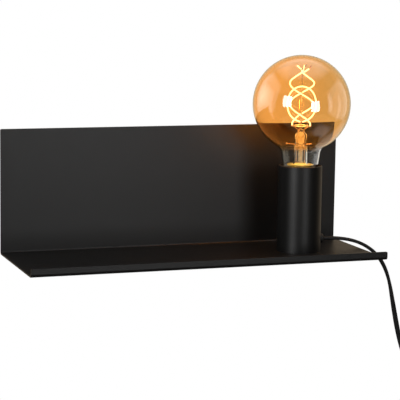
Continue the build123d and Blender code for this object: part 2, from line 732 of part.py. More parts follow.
# The supports: a centre wire with a crossbar and anchors at the top, a clip for the arch, and a ring
RING_HEIGHT = GLOBE_CENTRE - STRAND_BOTTOM - STRAND_STUB - SUPPORT_DIAMETER / 2 - STRAND_PLAY
CROWN_HEIGHT = GLOBE_CENTRE + STRAND_TOP + STRAND_STUB + SUPPORT_DIAMETER / 2 + STRAND_PLAY
with BuildPart() as filament_supports:
    with BuildSketch(level(GLOBE_CENTRE - PINCH_TOP)):
        Circle(SUPPORT_DIAMETER / 2)
    extrude(amount=PINCH_TOP + SUPPORT_TOP)
    with BuildSketch(CUP_FACE):
        with Locations((RING_RADIUS, RING_HEIGHT)):
            Circle(SUPPORT_DIAMETER / 2)
    revolve(axis=CUP_AXIS)
    with BuildSketch(level(RING_HEIGHT)):
        Rectangle(2 * RING_RADIUS, SUPPORT_DIAMETER, rotation=ARCH_ANGLE)
    extrude(amount=SUPPORT_DIAMETER / 2, both=True)
    with BuildSketch(level(GLOBE_CENTRE + ARCH_SIDE[-1][1])):
        Rectangle(ARCH_CLIP, SUPPORT_DIAMETER, rotation=ARCH_ANGLE)
    extrude(amount=SUPPORT_DIAMETER / 2, both=True)
    with BuildSketch(level(CROWN_HEIGHT)):
        Rectangle(2 * CROWN_RADIUS, SUPPORT_DIAMETER, rotation=STRAND_FIRST_ANGLE)
    extrude(amount=SUPPORT_DIAMETER / 2, both=True)
    for tilt in (-ANCHOR_SPREAD, ANCHOR_SPREAD):
        with Locations(level(GLOBE_CENTRE + SUPPORT_TOP)):
            with Locations(Location((0, 0, -SUPPORT_DIAMETER / 2), (0, tilt, 0))):
                Cylinder(
                    SUPPORT_DIAMETER / 2,
                    ANCHOR_LENGTH,
                    align=(Align.CENTER, Align.CENTER, Align.MIN),
                )

# The bulb's cap, insulator, tip and driver
with BuildPart() as bulb_cap:
    with BuildSketch(CUP_FACE):
        with BuildLine():
            Polyline(
                (CAP_TIP_DIAMETER / 2, CAP_BOTTOM),
                (CAP_DIAMETER / 2, CAP_BOTTOM),
                (CAP_DIAMETER / 2, CAP_TOP),
                (CAP_DIAMETER / 2 - CAP_SHEET, CAP_TOP),
                (CAP_DIAMETER / 2 - CAP_SHEET, CAP_BOTTOM + CAP_SHEET),
                (CAP_TIP_DIAMETER / 2, CAP_BOTTOM + CAP_SHEET),
                close=True,
            )
        make_face()
    revolve(axis=CUP_AXIS)

with BuildPart() as cap_insulator:
    with BuildSketch(level(CAP_TIP + CAP_TIP_HEIGHT)):
        Circle(CAP_TIP_DIAMETER / 2 + CAP_SHEET)
    with BuildSketch(level(CAP_BOTTOM)):
        Circle(INSULATOR_TOP / 2)
    loft(ruled=True)

with BuildPart() as cap_contact:
    with BuildSketch(level(CAP_TIP)):
        Circle(CAP_TIP_DIAMETER / 2)
    extrude(amount=CAP_TIP_HEIGHT)

with BuildPart() as driver_board:
    with BuildSketch(level(CAP_TIP + BOARD_HEIGHT)):
        Circle(CAP_DIAMETER / 2 - CAP_SHEET - BOARD_PLAY)
    extrude(amount=BOARD_THICKNESS)
    with BuildSketch(level(CAP_TIP + BOARD_HEIGHT)):
        Rectangle(BOARD_CHIP, BOARD_CHIP / 2)
    extrude(amount=-BOARD_CHIP_HEIGHT)

# The cord from the cup to the switch: straight runs joined by the largest arcs that fit
SWITCH_CENTRE = SWITCH_TOP - SWITCH_LENGTH / 2
SWITCH_FACE = Plane((SWITCH_X, SWITCH_Y, SWITCH_CENTRE), x_dir=(1, 0, 0), z_dir=(0, -1, 0))


def cord(points):
    """A length of cord swept along its points, with the bends printed."""
    radii = bend_radii(points)
    with BuildPart() as length:
        with BuildLine() as path:
            if radii:
                FilletPolyline(*points, radius=radii)
            else:
                Line(*points)
        with BuildSketch(path.line ^ 0):
            Circle(CORD_WIDTH / 2)
        sweep()
    measured = length.part.volume / (pi * CORD_WIDTH**2 / 4)
    print("cord", round(path.wire().length, 1), "by volume", round(measured, 1), [round(r) for r in radii])
    return length


cord_lead = cord(
    [(CUP_X + CORD_END, CUP_Y, SHELF_TOP + GLAND_HEIGHT)]
    + [(SHELF_END + past, CUP_Y + inward, SHELF_TOP + above) for past, inward, above in CORD_ROUTE]
    + [(SWITCH_X, SWITCH_Y, SWITCH_TOP + SWITCH_LEAD), (SWITCH_X, SWITCH_Y, SWITCH_TOP - CORD_GRIP)]
)

# The switch: two shells, their screws and clips, and the rocker
PIVOT_AXIS_PLACE = SWITCH_FACE.offset(PIVOT_HEIGHT).origin
BOSSES = [(BOSS_X, BOSS_Z), (-BOSS_X, -BOSS_Z)]
SWITCH_INNER_WIDTH = SWITCH_WIDTH - 2 * SWITCH_WALL
SWITCH_INNER_LENGTH = SWITCH_LENGTH - 2 * SWITCH_WALL
EAR_CENTRE = ROCKER_WIDTH / 2 + ROCKER_GAP + EAR_WIDTH / 2
WINDOW_REACH = sqrt(ROCKER_RADIUS**2 - (SWITCH_FRONT - SWITCH_WALL - PIVOT_HEIGHT) ** 2) + ROCKER_GAP
with BuildPart() as switch_front:
    with BuildSketch(SWITCH_FACE):
        RectangleRounded(SWITCH_WIDTH, SWITCH_LENGTH, SWITCH_CORNER)
    extrude(amount=SWITCH_FRONT)
    fillet(switch_front.faces().sort_by(Axis.Y)[0].edges(), SWITCH_EDGE)
    with BuildSketch(SWITCH_FACE):
        RectangleRounded(SWITCH_INNER_WIDTH, SWITCH_INNER_LENGTH, SWITCH_CORNER - SWITCH_WALL)
    extrude(amount=SWITCH_FRONT - SWITCH_WALL, mode=Mode.SUBTRACT)
    with BuildSketch(SWITCH_FACE):
        Rectangle(ROCKER_WIDTH + 2 * ROCKER_GAP, 2 * WINDOW_REACH)
    extrude(amount=SWITCH_FRONT, mode=Mode.SUBTRACT)
    with BuildSketch(SWITCH_FACE.offset(EAR_FOOT)):
        with GridLocations(2 * EAR_CENTRE, 0, 2, 1):
            Rectangle(EAR_WIDTH, EAR_LENGTH)
    extrude(amount=SWITCH_FRONT - SWITCH_WALL - EAR_FOOT)
    with BuildSketch(SWITCH_FACE):
        with Locations(*BOSSES):
            Circle(BOSS_DIAMETER / 2)
    extrude(amount=SWITCH_FRONT - SWITCH_WALL)
    with BuildSketch(SWITCH_FACE):
        with Locations(*BOSSES):
            Circle(SWITCH_SCREW / 2 + THREAD_PLAY)
    extrude(amount=SWITCH_SCREW_LENGTH + SWITCH_SCREW_SINK - SWITCH_BACK, mode=Mode.SUBTRACT)
    with BuildSketch(Plane(PIVOT_AXIS_PLACE, x_dir=(0, 1, 0), z_dir=(1, 0, 0))):
        Circle(PIVOT_DIAMETER / 2 + PIVOT_PLAY)
    extrude(amount=EAR_CENTRE + EAR_WIDTH / 2, both=True, mode=Mode.SUBTRACT)
    with BuildSketch(Plane((SWITCH_X, SWITCH_Y, SWITCH_CENTRE))):
        Circle(CORD_WIDTH / 2 + CORD_PLAY)
    extrude(amount=SWITCH_LENGTH, both=True, mode=Mode.SUBTRACT)

with BuildPart() as switch_back:
    with BuildSketch(SWITCH_FACE):
        RectangleRounded(SWITCH_WIDTH, SWITCH_LENGTH, SWITCH_CORNER)
    extrude(amount=-SWITCH_BACK)
    fillet(switch_back.faces().sort_by(Axis.Y)[-1].edges(), SWITCH_EDGE)
    with BuildSketch(SWITCH_FACE):
        RectangleRounded(SWITCH_INNER_WIDTH, SWITCH_INNER_LENGTH, SWITCH_CORNER - SWITCH_WALL)
    extrude(amount=SWITCH_WALL - SWITCH_BACK, mode=Mode.SUBTRACT)
    with BuildSketch(SWITCH_FACE):
        with Locations(*BOSSES):
            Circle(BOSS_DIAMETER / 2)
    extrude(amount=SWITCH_WALL - SWITCH_BACK)
    with BuildSketch(SWITCH_FACE):
        with Locations(*BOSSES):
            Circle(SWITCH_SCREW / 2 + THREAD_PLAY)
    extrude(amount=-SWITCH_BACK, mode=Mode.SUBTRACT)
    with BuildSketch(SWITCH_FACE.offset(-SWITCH_BACK)):
        with Locations(*BOSSES):
            Circle(SWITCH_SCREW_HEAD / 2 + THREAD_PLAY)
    extrude(amount=SWITCH_SCREW_SINK, mode=Mode.SUBTRACT)
    with BuildSketch(Plane((SWITCH_X, SWITCH_Y, SWITCH_CENTRE))):
        Circle(CORD_WIDTH / 2 + CORD_PLAY)
    extrude(amount=SWITCH_LENGTH, both=True, mode=Mode.SUBTRACT)

with BuildPart() as switch_screws:
    with BuildSketch(SWITCH_FACE.offset(-SWITCH_BACK)):
        with Locations(*BOSSES):
            Circle(SWITCH_SCREW_HEAD / 2)
    extrude(amount=SWITCH_SCREW_SINK)
    with BuildSketch(SWITCH_FACE.offset(SWITCH_SCREW_SINK - SWITCH_BACK)):
        with Locations(*BOSSES):
            Circle(SWITCH_SCREW / 2)
    extrude(amount=SWITCH_SCREW_LENGTH)

with BuildPart() as switch_terminals:
    with BuildSketch(SWITCH_FACE.offset(SWITCH_WALL - SWITCH_BACK)):
        with GridLocations(0, 2 * CLIP_OFFSET, 1, 2):
            Rectangle(CLIP_WIDTH, CLIP_LENGTH)
    extrude(amount=CLIP_HEIGHT)

# The rocker at rest is pressed in at its upper end, which is the lit state
CORNER_REACH = ROCKER_RADIUS * cos(radians(ROCKER_CORNER))
CORNER_RISE = ROCKER_RADIUS * sin(radians(ROCKER_CORNER))
KEEL_REACH = sqrt(ROCKER_RADIUS**2 - ROCKER_KEEL**2)
ROCKER_UP = (0, sin(radians(ROCKER_TILT)), cos(radians(ROCKER_TILT)))
ROCKER_SIDE = Plane(PIVOT_AXIS_PLACE, x_dir=ROCKER_UP, z_dir=(1, 0, 0))
with BuildPart() as switch_rocker:
    with BuildSketch(ROCKER_SIDE):
        with BuildLine():
            Polyline(
                (CORNER_REACH, CORNER_RISE),
                (0, CORNER_RISE - ROCKER_DISH),
                (-CORNER_REACH, CORNER_RISE),
            )
            ThreePointArc((-CORNER_REACH, CORNER_RISE), (-ROCKER_RADIUS, 0), (-KEEL_REACH, -ROCKER_KEEL))
            Line((-KEEL_REACH, -ROCKER_KEEL), (KEEL_REACH, -ROCKER_KEEL))
            ThreePointArc((KEEL_REACH, -ROCKER_KEEL), (ROCKER_RADIUS, 0), (CORNER_REACH, CORNER_RISE))
        make_face()
    extrude(amount=ROCKER_WIDTH / 2, both=True)
    with BuildSketch(ROCKER_SIDE):
        Circle(PIVOT_DIAMETER / 2)
    extrude(amount=EAR_CENTRE + EAR_WIDTH / 2, both=True)

# The cord from the switch to the coil, straight under the coil's weight
LAYER_STEP = CORD_WIDTH + COIL_GAP
COIL_CENTRE_Z = SWITCH_TOP - SWITCH_LENGTH - COIL_DROP
COIL_CENTRE_X = SWITCH_X - COIL_RADIUS
cord_link = cord(
    [
        (SWITCH_X, SWITCH_Y, SWITCH_TOP - SWITCH_LENGTH + CORD_GRIP),
        (SWITCH_X, SWITCH_Y, COIL_CENTRE_Z + CORD_WIDTH),
    ]
)


def coil_ends():
    """Where each half turn of the coil starts, as places left and right of its centre.

    The first layer spirals in, the next half turn climbs to the second layer, and that spirals out.
    """
    places = []
    half_turns = 4 * COIL_TURNS
    for i in range(half_turns + 1):
        inward = min(i, half_turns + 1 - i)
        radius = COIL_RADIUS - inward * LAYER_STEP / 2 - (CLIMB_INSET if inward == half_turns / 2 else 0)
        side = 1 if i % 2 == 0 else -1
        layer = 0 if i <= half_turns / 2 else -LAYER_STEP
        places.append(Vector(COIL_CENTRE_X + side * radius, SWITCH_Y + layer, COIL_CENTRE_Z))
    return places


COIL_ENDS = coil_ends()
with BuildPart() as cord_coil:
    with BuildLine() as coil_path:
        Line(COIL_ENDS[0] + Vector(0, 0, CORD_WIDTH), COIL_ENDS[0])
        for i, (start, end) in enumerate(zip(COIL_ENDS, COIL_ENDS[1:])):
            rise = (end - start).length / 2 * (-1 if i % 2 == 0 else 1)
            ThreePointArc(start, (start + end) / 2 + Vector(0, 0, rise), end)
        Line(COIL_ENDS[-1], COIL_ENDS[-1] - Vector(0, 0, CORD_WIDTH))
    with BuildSketch(coil_path.line ^ 0):
        Circle(CORD_WIDTH / 2)
    sweep()


def least_gap(line, spacing):
    """The least clear distance between the turns of a coil, measured on points along it."""
    count = int(line.length / spacing)
    points = [line @ (i / count) for i in range(count + 1)]
    apart = int(2 * CORD_WIDTH / spacing)
    clear = min(
        (points[i] - points[j]).length for i in range(len(points)) for j in range(i + apart, len(points))
    )
    return clear - CORD_WIDTH


COIL_WIRE = coil_path.wire()
print("coil", round(COIL_WIRE.length, 1), "gap", round(least_gap(COIL_WIRE, COIL_STEP), 2))

# The strap round the coil's left side
TIE_IN = COIL_RADIUS - COIL_TURNS * LAYER_STEP - CLIMB_INSET - CORD_WIDTH / 2
TIE_OUT = COIL_RADIUS - LAYER_STEP / 2 + CORD_WIDTH / 2
TIE_SAG = (TIE_WIDTH / 2) ** 2 / (2 * TIE_IN)
TIE_LENGTH = TIE_OUT - TIE_IN + TIE_SAG + 2 * TIE_PLAY
TIE_DEPTH = LAYER_STEP + CORD_WIDTH + 2 * TIE_PLAY
TIE_CENTRE_X = COIL_CENTRE_X - (TIE_IN + TIE_OUT - TIE_SAG) / 2
with BuildPart() as coil_tie:
    with BuildSketch(Plane((TIE_CENTRE_X, SWITCH_Y - LAYER_STEP / 2, COIL_CENTRE_Z))):
        RectangleRounded(
            TIE_LENGTH + 2 * TIE_SHEET, TIE_DEPTH + 2 * TIE_SHEET, CORD_WIDTH / 2 + TIE_SHEET
        )
        RectangleRounded(TIE_LENGTH, TIE_DEPTH, CORD_WIDTH / 2, mode=Mode.SUBTRACT)
    extrude(amount=TIE_WIDTH / 2, both=True)

# The tail and the plug
PLUG_X, PLUG_Y = COIL_ENDS[-1].X, COIL_ENDS[-1].Y
PLUG_TOP = COIL_CENTRE_Z - TAIL_LENGTH
PLUG_FACE_Z = PLUG_TOP - PLUG_NECK_LENGTH - PLUG_BODY_LENGTH
cord_tail = cord(
    [
        (PLUG_X, PLUG_Y, COIL_CENTRE_Z - CORD_WIDTH),
        (PLUG_X, PLUG_Y, PLUG_TOP),
    ]
)

with BuildPart() as plug_body:
    with BuildSketch(Plane((PLUG_X, PLUG_Y, PLUG_FACE_Z))):
        RectangleRounded(PLUG_WIDTH, PLUG_THICKNESS, PLUG_EDGE)
    extrude(amount=PLUG_FACE_LENGTH)
    with BuildSketch(Plane((PLUG_X, PLUG_Y, PLUG_FACE_Z + PLUG_FACE_LENGTH))):
        RectangleRounded(PLUG_WIDTH, PLUG_THICKNESS, PLUG_EDGE)
    with BuildSketch(Plane((PLUG_X, PLUG_Y, PLUG_FACE_Z + PLUG_BODY_LENGTH))):
        RectangleRounded(PLUG_NECK + PLUG_EDGE, PLUG_NECK + PLUG_EDGE / 2, PLUG_EDGE)
    loft()
    with BuildSketch(Plane((PLUG_X, PLUG_Y, PLUG_FACE_Z + PLUG_BODY_LENGTH))):
        Circle(PLUG_NECK / 2)
    with BuildSketch(Plane((PLUG_X, PLUG_Y, PLUG_TOP))):
        Circle(PLUG_NECK_TIP / 2)
    loft()

PIN_PLACES = [(-PIN_SPACING / 2, 0), (PIN_SPACING / 2, 0)]
with BuildPart() as pin_sleeves:
    with BuildSketch(Plane((PLUG_X, PLUG_Y, PLUG_FACE_Z - SLEEVE_LENGTH))):
        with Locations(*PIN_PLACES):
            Circle(SLEEVE_DIAMETER / 2)
    extrude(amount=SLEEVE_LENGTH)
    with BuildSketch(Plane((PLUG_X, PLUG_Y, PLUG_FACE_Z - SLEEVE_LENGTH))):
        with Locations(*PIN_PLACES):
            Circle(PIN_CORE / 2 + THREAD_PLAY)
    extrude(amount=SLEEVE_LENGTH, mode=Mode.SUBTRACT)

with BuildPart() as plug_pins:
    with BuildSketch(Plane((PLUG_X, PLUG_Y, PLUG_FACE_Z))):
        with Locations(*PIN_PLACES):
            Circle(PIN_CORE / 2)
    extrude(amount=-PIN_LENGTH)
    with BuildSketch(Plane((PLUG_X, PLUG_Y, PLUG_FACE_Z - PIN_LENGTH))):
        with Locations(*PIN_PLACES):
            Circle(PIN_DIAMETER / 2)
    extrude(amount=PIN_LENGTH - SLEEVE_LENGTH)
    fillet(plug_pins.edges().group_by(Axis.Z)[0], PIN_DIAMETER / 4)

PIECES = {
    "shelf_body": shelf_body,
    "wall_bracket": wall_bracket,
    "hanger_rail": hanger_rail,
    "wall_pads": wall_pads,
    "holder_cup": holder_cup,
    "nipple": nipple,
    "nipple_nuts": nipple_nuts,
    "lock_washer": lock_washer,
    "stirrup": stirrup,
    "stirrup_screws": stirrup_screws,
    "holder_body": holder_body,
    "screw_shell": screw_shell,
    "centre_contact": centre_contact,
    "contact_rivets": contact_rivets,
    "terminal_blocks": terminal_blocks,
    "terminal_screws": terminal_screws,
    "cord_gland": cord_gland,
    "gland_nut": gland_nut,
    "live_core": live_core,
    "neutral_core": neutral_core,
    "bulb_globe": bulb_globe,
    "bulb_stem": bulb_stem,
    "filament_left": filament_left,
    "filament_right": filament_right,
    "filament_arch": filament_arch,
    "filament_supports": filament_supports,
    "bulb_cap": bulb_cap,
    "cap_insulator": cap_insulator,
    "cap_contact": cap_contact,
    "driver_board": driver_board,
    "cord_lead": cord_lead,
    "switch_front": switch_front,
    "switch_back": switch_back,
    "switch_screws": switch_screws,
    "switch_terminals": switch_terminals,
    "switch_rocker": switch_rocker,
    "cord_link": cord_link,
    "cord_coil": cord_coil,
    "coil_tie": coil_tie,
    "cord_tail": cord_tail,
    "plug_body": plug_body,
    "plug_pins": plug_pins,
    "pin_sleeves": pin_sleeves,
}
for name, piece in PIECES.items():
    piece.part.label = name
    export_step(piece.part, f"parts/{name}.step")
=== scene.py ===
# %% [markdown]
# # A wall shelf lamp
# A folded black steel shelf hangs on a wall. A cup on it holds a lampholder and an amber globe bulb.
# A flat cord leaves the cup, runs over the shelf's end, and hangs down to a switch, a coil and a plug.
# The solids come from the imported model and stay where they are. This script gives them finishes, and
# models the pieces that a solid can't show: threads, glasswork, wires, a strap, and the cord itself.

# %% Load the frame
import math
import bmesh
import bpy
from mathutils import Matrix, Vector


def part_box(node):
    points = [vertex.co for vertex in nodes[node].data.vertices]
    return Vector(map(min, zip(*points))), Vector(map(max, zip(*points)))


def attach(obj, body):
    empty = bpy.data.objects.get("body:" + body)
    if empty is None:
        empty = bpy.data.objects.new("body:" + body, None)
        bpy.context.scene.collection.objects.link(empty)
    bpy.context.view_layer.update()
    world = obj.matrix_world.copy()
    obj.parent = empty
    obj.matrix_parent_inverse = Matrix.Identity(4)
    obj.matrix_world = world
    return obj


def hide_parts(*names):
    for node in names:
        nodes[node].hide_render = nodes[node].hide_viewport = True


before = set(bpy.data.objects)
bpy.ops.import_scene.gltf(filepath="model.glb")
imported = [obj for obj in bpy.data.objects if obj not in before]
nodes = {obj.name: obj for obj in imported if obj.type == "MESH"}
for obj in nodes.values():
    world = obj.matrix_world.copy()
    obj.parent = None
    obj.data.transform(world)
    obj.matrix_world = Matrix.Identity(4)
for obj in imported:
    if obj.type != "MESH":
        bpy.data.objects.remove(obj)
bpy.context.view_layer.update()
scene = bpy.context.scene
scene.view_settings.view_transform = "Standard"


# %% [markdown]
# ## Camera
# The photograph was taken from the left and a little above, with a long lens. The angles, the place and
# the lens were solved from the shelf's corners, the globe and the cup. The picture is a cut-out of a
# larger frame, so its centre lies beside the lens axis: the two shift values hold that.

# %% Camera
CAMERA_PLACE = Vector((-0.492755, -1.446728, 0.175676))
CAMERA_AZIMUTH, CAMERA_ELEVATION, CAMERA_ROLL = (math.radians(angle) for angle in (-18.856, 7.569, 0.699))
SENSOR_WIDTH, LENS, SHIFT_RIGHT, SHIFT_UP = 36.0, 139.405, 0.0664, -0.0356


def towards(azimuth, elevation):
    """A unit arrow from the lamp to something seen at an azimuth and elevation."""
    flat = math.cos(elevation)
    return Vector((math.sin(azimuth) * flat, -math.cos(azimuth) * flat, math.sin(elevation)))


back = towards(CAMERA_AZIMUTH, CAMERA_ELEVATION)
level_right = (-back).cross(Vector((0, 0, 1))).normalized()
level_up = level_right.cross(-back)
right = math.cos(CAMERA_ROLL) * level_right + math.sin(CAMERA_ROLL) * level_up
up = math.cos(CAMERA_ROLL) * level_up - math.sin(CAMERA_ROLL) * level_right
camera_data = bpy.data.cameras.new("camera")
camera_data.sensor_width, camera_data.lens = SENSOR_WIDTH, LENS
camera_data.shift_x, camera_data.shift_y = SHIFT_RIGHT, SHIFT_UP
camera = bpy.data.objects.new("camera", camera_data)
camera.matrix_world = Matrix.Translation(CAMERA_PLACE) @ Matrix((right, up, back)).transposed().to_4x4()
scene.collection.objects.link(camera)
scene.camera = camera
print("camera at", tuple(CAMERA_PLACE), "lens", LENS)

# %% [markdown]
# ## Cord
# The mains lead is a flat cord of two cores side by side, 5.3 mm wide and 3.3 mm thick. A curve is the
# natural way to model it: the route's points steer one smooth spline, and a small closed outline, swept
# along it, gives the two lobes. The spline stays inside the corners of its points, as a stiff cord does.

# %% Route of the cord
MM = 0.001
CORD_WIDTH, CORD_THICKNESS = 5.3 * MM, 3.3 * MM
CUP_TO_SWITCH = [
    (0.1220, -0.06425, -0.07530),
    (0.1410, -0.06425, -0.07535),
    (0.1565, -0.06420, -0.07650),
    (0.1720, -0.06400, -0.07990),
    (0.1858, -0.06360, -0.08640),
    (0.1976, -0.06310, -0.09600),
    (0.2062, -0.06240, -0.10860),
    (0.2122, -0.06140, -0.12400),
    (0.2166, -0.06000, -0.14200),
    (0.2214, -0.05840, -0.16160),
    (0.2268, -0.05680, -0.18160),
    (0.2332, -0.05535, -0.19930),
    (0.2412, -0.05405, -0.21610),
    (0.2490, -0.05340, -0.23250),
    (0.2490, -0.05340, -0.25050),
]
SWITCH_TO_COIL = [(0.2490, -0.0534, -0.3005), (0.2490, -0.0534, -0.3332)]
print("route points before the coil:", len(CUP_TO_SWITCH) + len(SWITCH_TO_COIL))

# %% [markdown]
# The spare length is wound up: four turns inwards in a first layer, a climb, and four turns outwards in a
# second layer. Each turn has twelve points. A spline runs inside its points, so they lie a little further
# out than the turn, by the cosine of half a step.

# %% Turns of the coil
COIL_CENTRE = Vector((0.2070, -0.0534, -0.3385))
COIL_RADIUS, LAYER, CLIMB_INWARDS, CORD_IN_PLUG = 42 * MM, 5.9 * MM, 1.6 * MM, 4 * MM
HALF_TURNS, STEPS = 16, 6
half_turns_in = [min(half, HALF_TURNS + 1 - half) for half in range(HALF_TURNS + 1)]
reach = [
    COIL_RADIUS - count * LAYER / 2 - (CLIMB_INWARDS if count == HALF_TURNS / 2 else 0)
    for count in half_turns_in
]
coil = []
for step in range(HALF_TURNS * STEPS):
    turned_by = (step + 0.5) / STEPS
    half, share = int(turned_by), turned_by % 1
    radius = (reach[half] * (1 - share) + reach[half + 1] * share) / math.cos(math.pi / STEPS / 2)
    angle = -math.pi * turned_by
    depth = LAYER * min(max(turned_by - HALF_TURNS / 2, 0), 1)
    coil.append(COIL_CENTRE + Vector((radius * math.cos(angle), -depth, radius * math.sin(angle))))
tail_x, tail_y = COIL_CENTRE.x + reach[-1], COIL_CENTRE.y - LAYER
plug_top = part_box("plug_body")[1][2]
COIL_TO_PLUG = [(tail_x, tail_y, COIL_CENTRE.z - CORD_WIDTH), (tail_x, tail_y, plug_top - CORD_IN_PLUG)]
print("coil points:", len(coil), "tail down to", round(plug_top, 4))

# %% [markdown]
# The outline is drawn a thousand times too large, and the spline's points have a radius of a thousandth,
# which scales it back. Blender adds the radius of the points to a curve's box, so a small radius keeps
# that box close to the cord.

# %% Outline of the cord
LOBE_STEPS, GROOVE = 8, 0.86
section_curve = bpy.data.curves.new("cord_section", "CURVE")
section_curve.dimensions = "2D"
lobe = CORD_THICKNESS / 2
offset = CORD_WIDTH / 2 - lobe
outline = []
for side in (1, -1):
    for step in range(LOBE_STEPS + 1):
        angle = math.pi * (step / LOBE_STEPS - 0.5)
        outline.append((side * (offset + lobe * math.cos(angle)), side * lobe * math.sin(angle)))
    outline.append((0, side * lobe * GROOVE))
line = section_curve.splines.new("POLY")
line.points.add(len(outline) - 1)
for point, (x, y) in zip(line.points, outline):
    point.co = (x / MM, y / MM, 0, 1)
line.use_cyclic_u = True
cord_section = bpy.data.objects.new("cord_section", section_curve)
print("cord outline points:", len(outline))

# %% [markdown]
# Past the shelf's end the cord turns by a quarter about its own line, over three points of the route.

# %% Cord
QUARTER_TURN, TURN_FROM, TURN_OVER = math.radians(90), 6, 3
route = CUP_TO_SWITCH + SWITCH_TO_COIL + [tuple(place) for place in coil] + COIL_TO_PLUG
cord_curve = bpy.data.curves.new("mains_cord", "CURVE")
cord_curve.dimensions = "3D"
cord_curve.resolution_u = 8
spline = cord_curve.splines.new("NURBS")
spline.points.add(len(route) - 1)
for index, (point, place) in enumerate(zip(spline.points, route)):
    point.co = (*place, 1)
    point.radius = MM
    point.tilt = QUARTER_TURN * min(max((index - TURN_FROM) / TURN_OVER, 0), 1)
spline.order_u = 3
spline.use_endpoint_u = True
cord_curve.bevel_mode = "OBJECT"
cord_curve.bevel_object = cord_section
cord_curve.use_fill_caps = True
mains_cord = bpy.data.objects.new("mains_cord", cord_curve)
scene.collection.objects.link(mains_cord)
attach(mains_cord, "lamp")
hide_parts("cord_lead", "cord_link", "cord_coil", "cord_tail")
print("cord length in mm:", round(1000 * spline.calc_length()))

# %% [markdown]
# ## Helpers for shaders
# A shader is a tree of nodes with sockets. These helpers make the kinds of node that the background, the
# lamps and the finishes share. What goes into a node is a plain value or the output of another one.

# %% Helpers for shaders
def feed(tree, socket, value):
    """Give a socket a plain value, or link it to the output of another node."""
    if isinstance(value, bpy.types.NodeSocket):
        tree.links.new(value, socket)
    else:
        socket.default_value = value


def calculated(tree, operation, first, second, clamp=False):
    """What an operation makes of two values."""
    made = tree.nodes.new("ShaderNodeMath")
    made.operation, made.use_clamp = operation, clamp
    feed(tree, made.inputs[0], first)
    feed(tree, made.inputs[1], second)
    return made.outputs[0]


def measured(tree, operation, first, second):
    """The number that an operation makes of two arrows."""
    made = tree.nodes.new("ShaderNodeVectorMath")
    made.operation = operation
    feed(tree, made.inputs[0], first)
    feed(tree, made.inputs[1], second)
    return made.outputs["Value"]


def split_up(tree, source):
    """The three parts of an arrow, by the names X, Y and Z."""
    made = tree.nodes.new("ShaderNodeSeparateXYZ")
    feed(tree, made.inputs[0], source)
    return made.outputs


def ramped(tree, source, low, high, first=0.0, last=1.0):
    """A value that runs from first to last while its source runs from low to high."""
    made = tree.nodes.new("ShaderNodeMapRange")
    for name, value in (("Value", source), ("From Min", low), ("From Max", high), ("To Min", first),
                        ("To Max", last)):
        feed(tree, made.inputs[name], value)
    return made.outputs["Result"]


def mixed(tree, kind, share, first, last):
    """A mix of two numbers, of the kind FLOAT, or of two colours, of the kind RGBA."""
    made = tree.nodes.new("ShaderNodeMix")
    made.data_type = kind
    wanted = "RGBA" if kind == "RGBA" else "VALUE"
    ends = [socket for socket in made.inputs if socket.type == wanted][-2:]
    feed(tree, made.inputs["Factor"], share)
    feed(tree, ends[0], first)
    feed(tree, ends[1], last)
    return next(socket for socket in made.outputs if socket.type == wanted)


def finish(name, colour, roughness, **sockets):
    """A material with plain values on its shader."""
    material = bpy.data.materials.new(name)
    material.use_nodes = True
    shader = material.node_tree.nodes["Principled BSDF"]
    shader.inputs["Base Color"].default_value = (*colour, 1)
    shader.inputs["Roughness"].default_value = roughness
    for socket, value in sockets.items():
        shader.inputs[socket.replace("_", " ")].default_value = value
    return material


print("shader helpers ready")

# %% [markdown]
# ## Floor and background
# The lamp is seen on white. The floor and the background are white to the camera, also through glass. In
# gloss, only the wall behind is pale, and a warm beige. The camera's side and everything below are dark,
# so black paint stays black.

# %% Floor
FLOOR_CENTRE, FLOOR_HALF = Vector((0.05, -0.55, -0.50)), 1.0
shape = bmesh.new()
bmesh.ops.create_grid(shape, x_segments=8, y_segments=8, size=FLOOR_HALF)
bmesh.ops.translate(shape, verts=shape.verts, vec=FLOOR_CENTRE)
floor_mesh = bpy.data.meshes.new("floor")
shape.to_mesh(floor_mesh)
shape.free()
floor = bpy.data.objects.new("floor", floor_mesh)
scene.collection.objects.link(floor)
floor.visible_glossy = False
floor_mesh.materials.append(finish("floor_paint", (0.86, 0.86, 0.86), 0.9))
print("floor at", round(FLOOR_CENTRE.z, 3))

# %% [markdown]
# The background asks each ray where it comes from. A ray from the camera, straight or through glass, sees
# plain white. A mirrored ray sees the wall or the dark, by its heading. Any other ray sees an even room.

# %% Background
ROOM, WALL, SCREEN = 0.75, 0.42, 0.02
WALL_SIDES, WALL_FOOT, GLASS_SIDES = (-0.55, -0.20), (-0.40, -0.15), (0.15, 0.40)
WHITE, BEIGE = (1, 1, 1, 1), (1.0, 0.80, 0.57, 1)
world = bpy.data.worlds.new("studio")
world.use_nodes = True
scene.world = world
tree = world.node_tree
rays = tree.nodes.new("ShaderNodeLightPath").outputs
heading = tree.nodes.new("ShaderNodeTexCoord").outputs["Generated"]
facing = measured(tree, "DOT_PRODUCT", heading, back)
behind = ramped(tree, facing, *WALL_SIDES, WALL, SCREEN)
above = ramped(tree, split_up(tree, heading)["Z"], *WALL_FOOT)
mirrored = calculated(tree, "MAXIMUM", calculated(tree, "MULTIPLY", behind, above), SCREEN)
straight = calculated(tree, "LESS_THAN", rays["Glossy Depth"], 0.5)
ahead = calculated(tree, "MAXIMUM", straight, ramped(tree, facing, *GLASS_SIDES, 1.0, 0.0))
through = calculated(tree, "MULTIPLY", rays["Is Transmission Ray"], ahead)
seen = calculated(tree, "MAXIMUM", rays["Is Camera Ray"], through)
unseen = mixed(tree, "FLOAT", rays["Is Glossy Ray"], ROOM, mirrored)
warm = calculated(tree, "SUBTRACT", rays["Is Glossy Ray"], seen, clamp=True)
background = tree.nodes["Background"].inputs
feed(tree, background["Color"], mixed(tree, "RGBA", warm, WHITE, BEIGE))
feed(tree, background["Strength"], mixed(tree, "FLOAT", seen, unseen, 1.0))
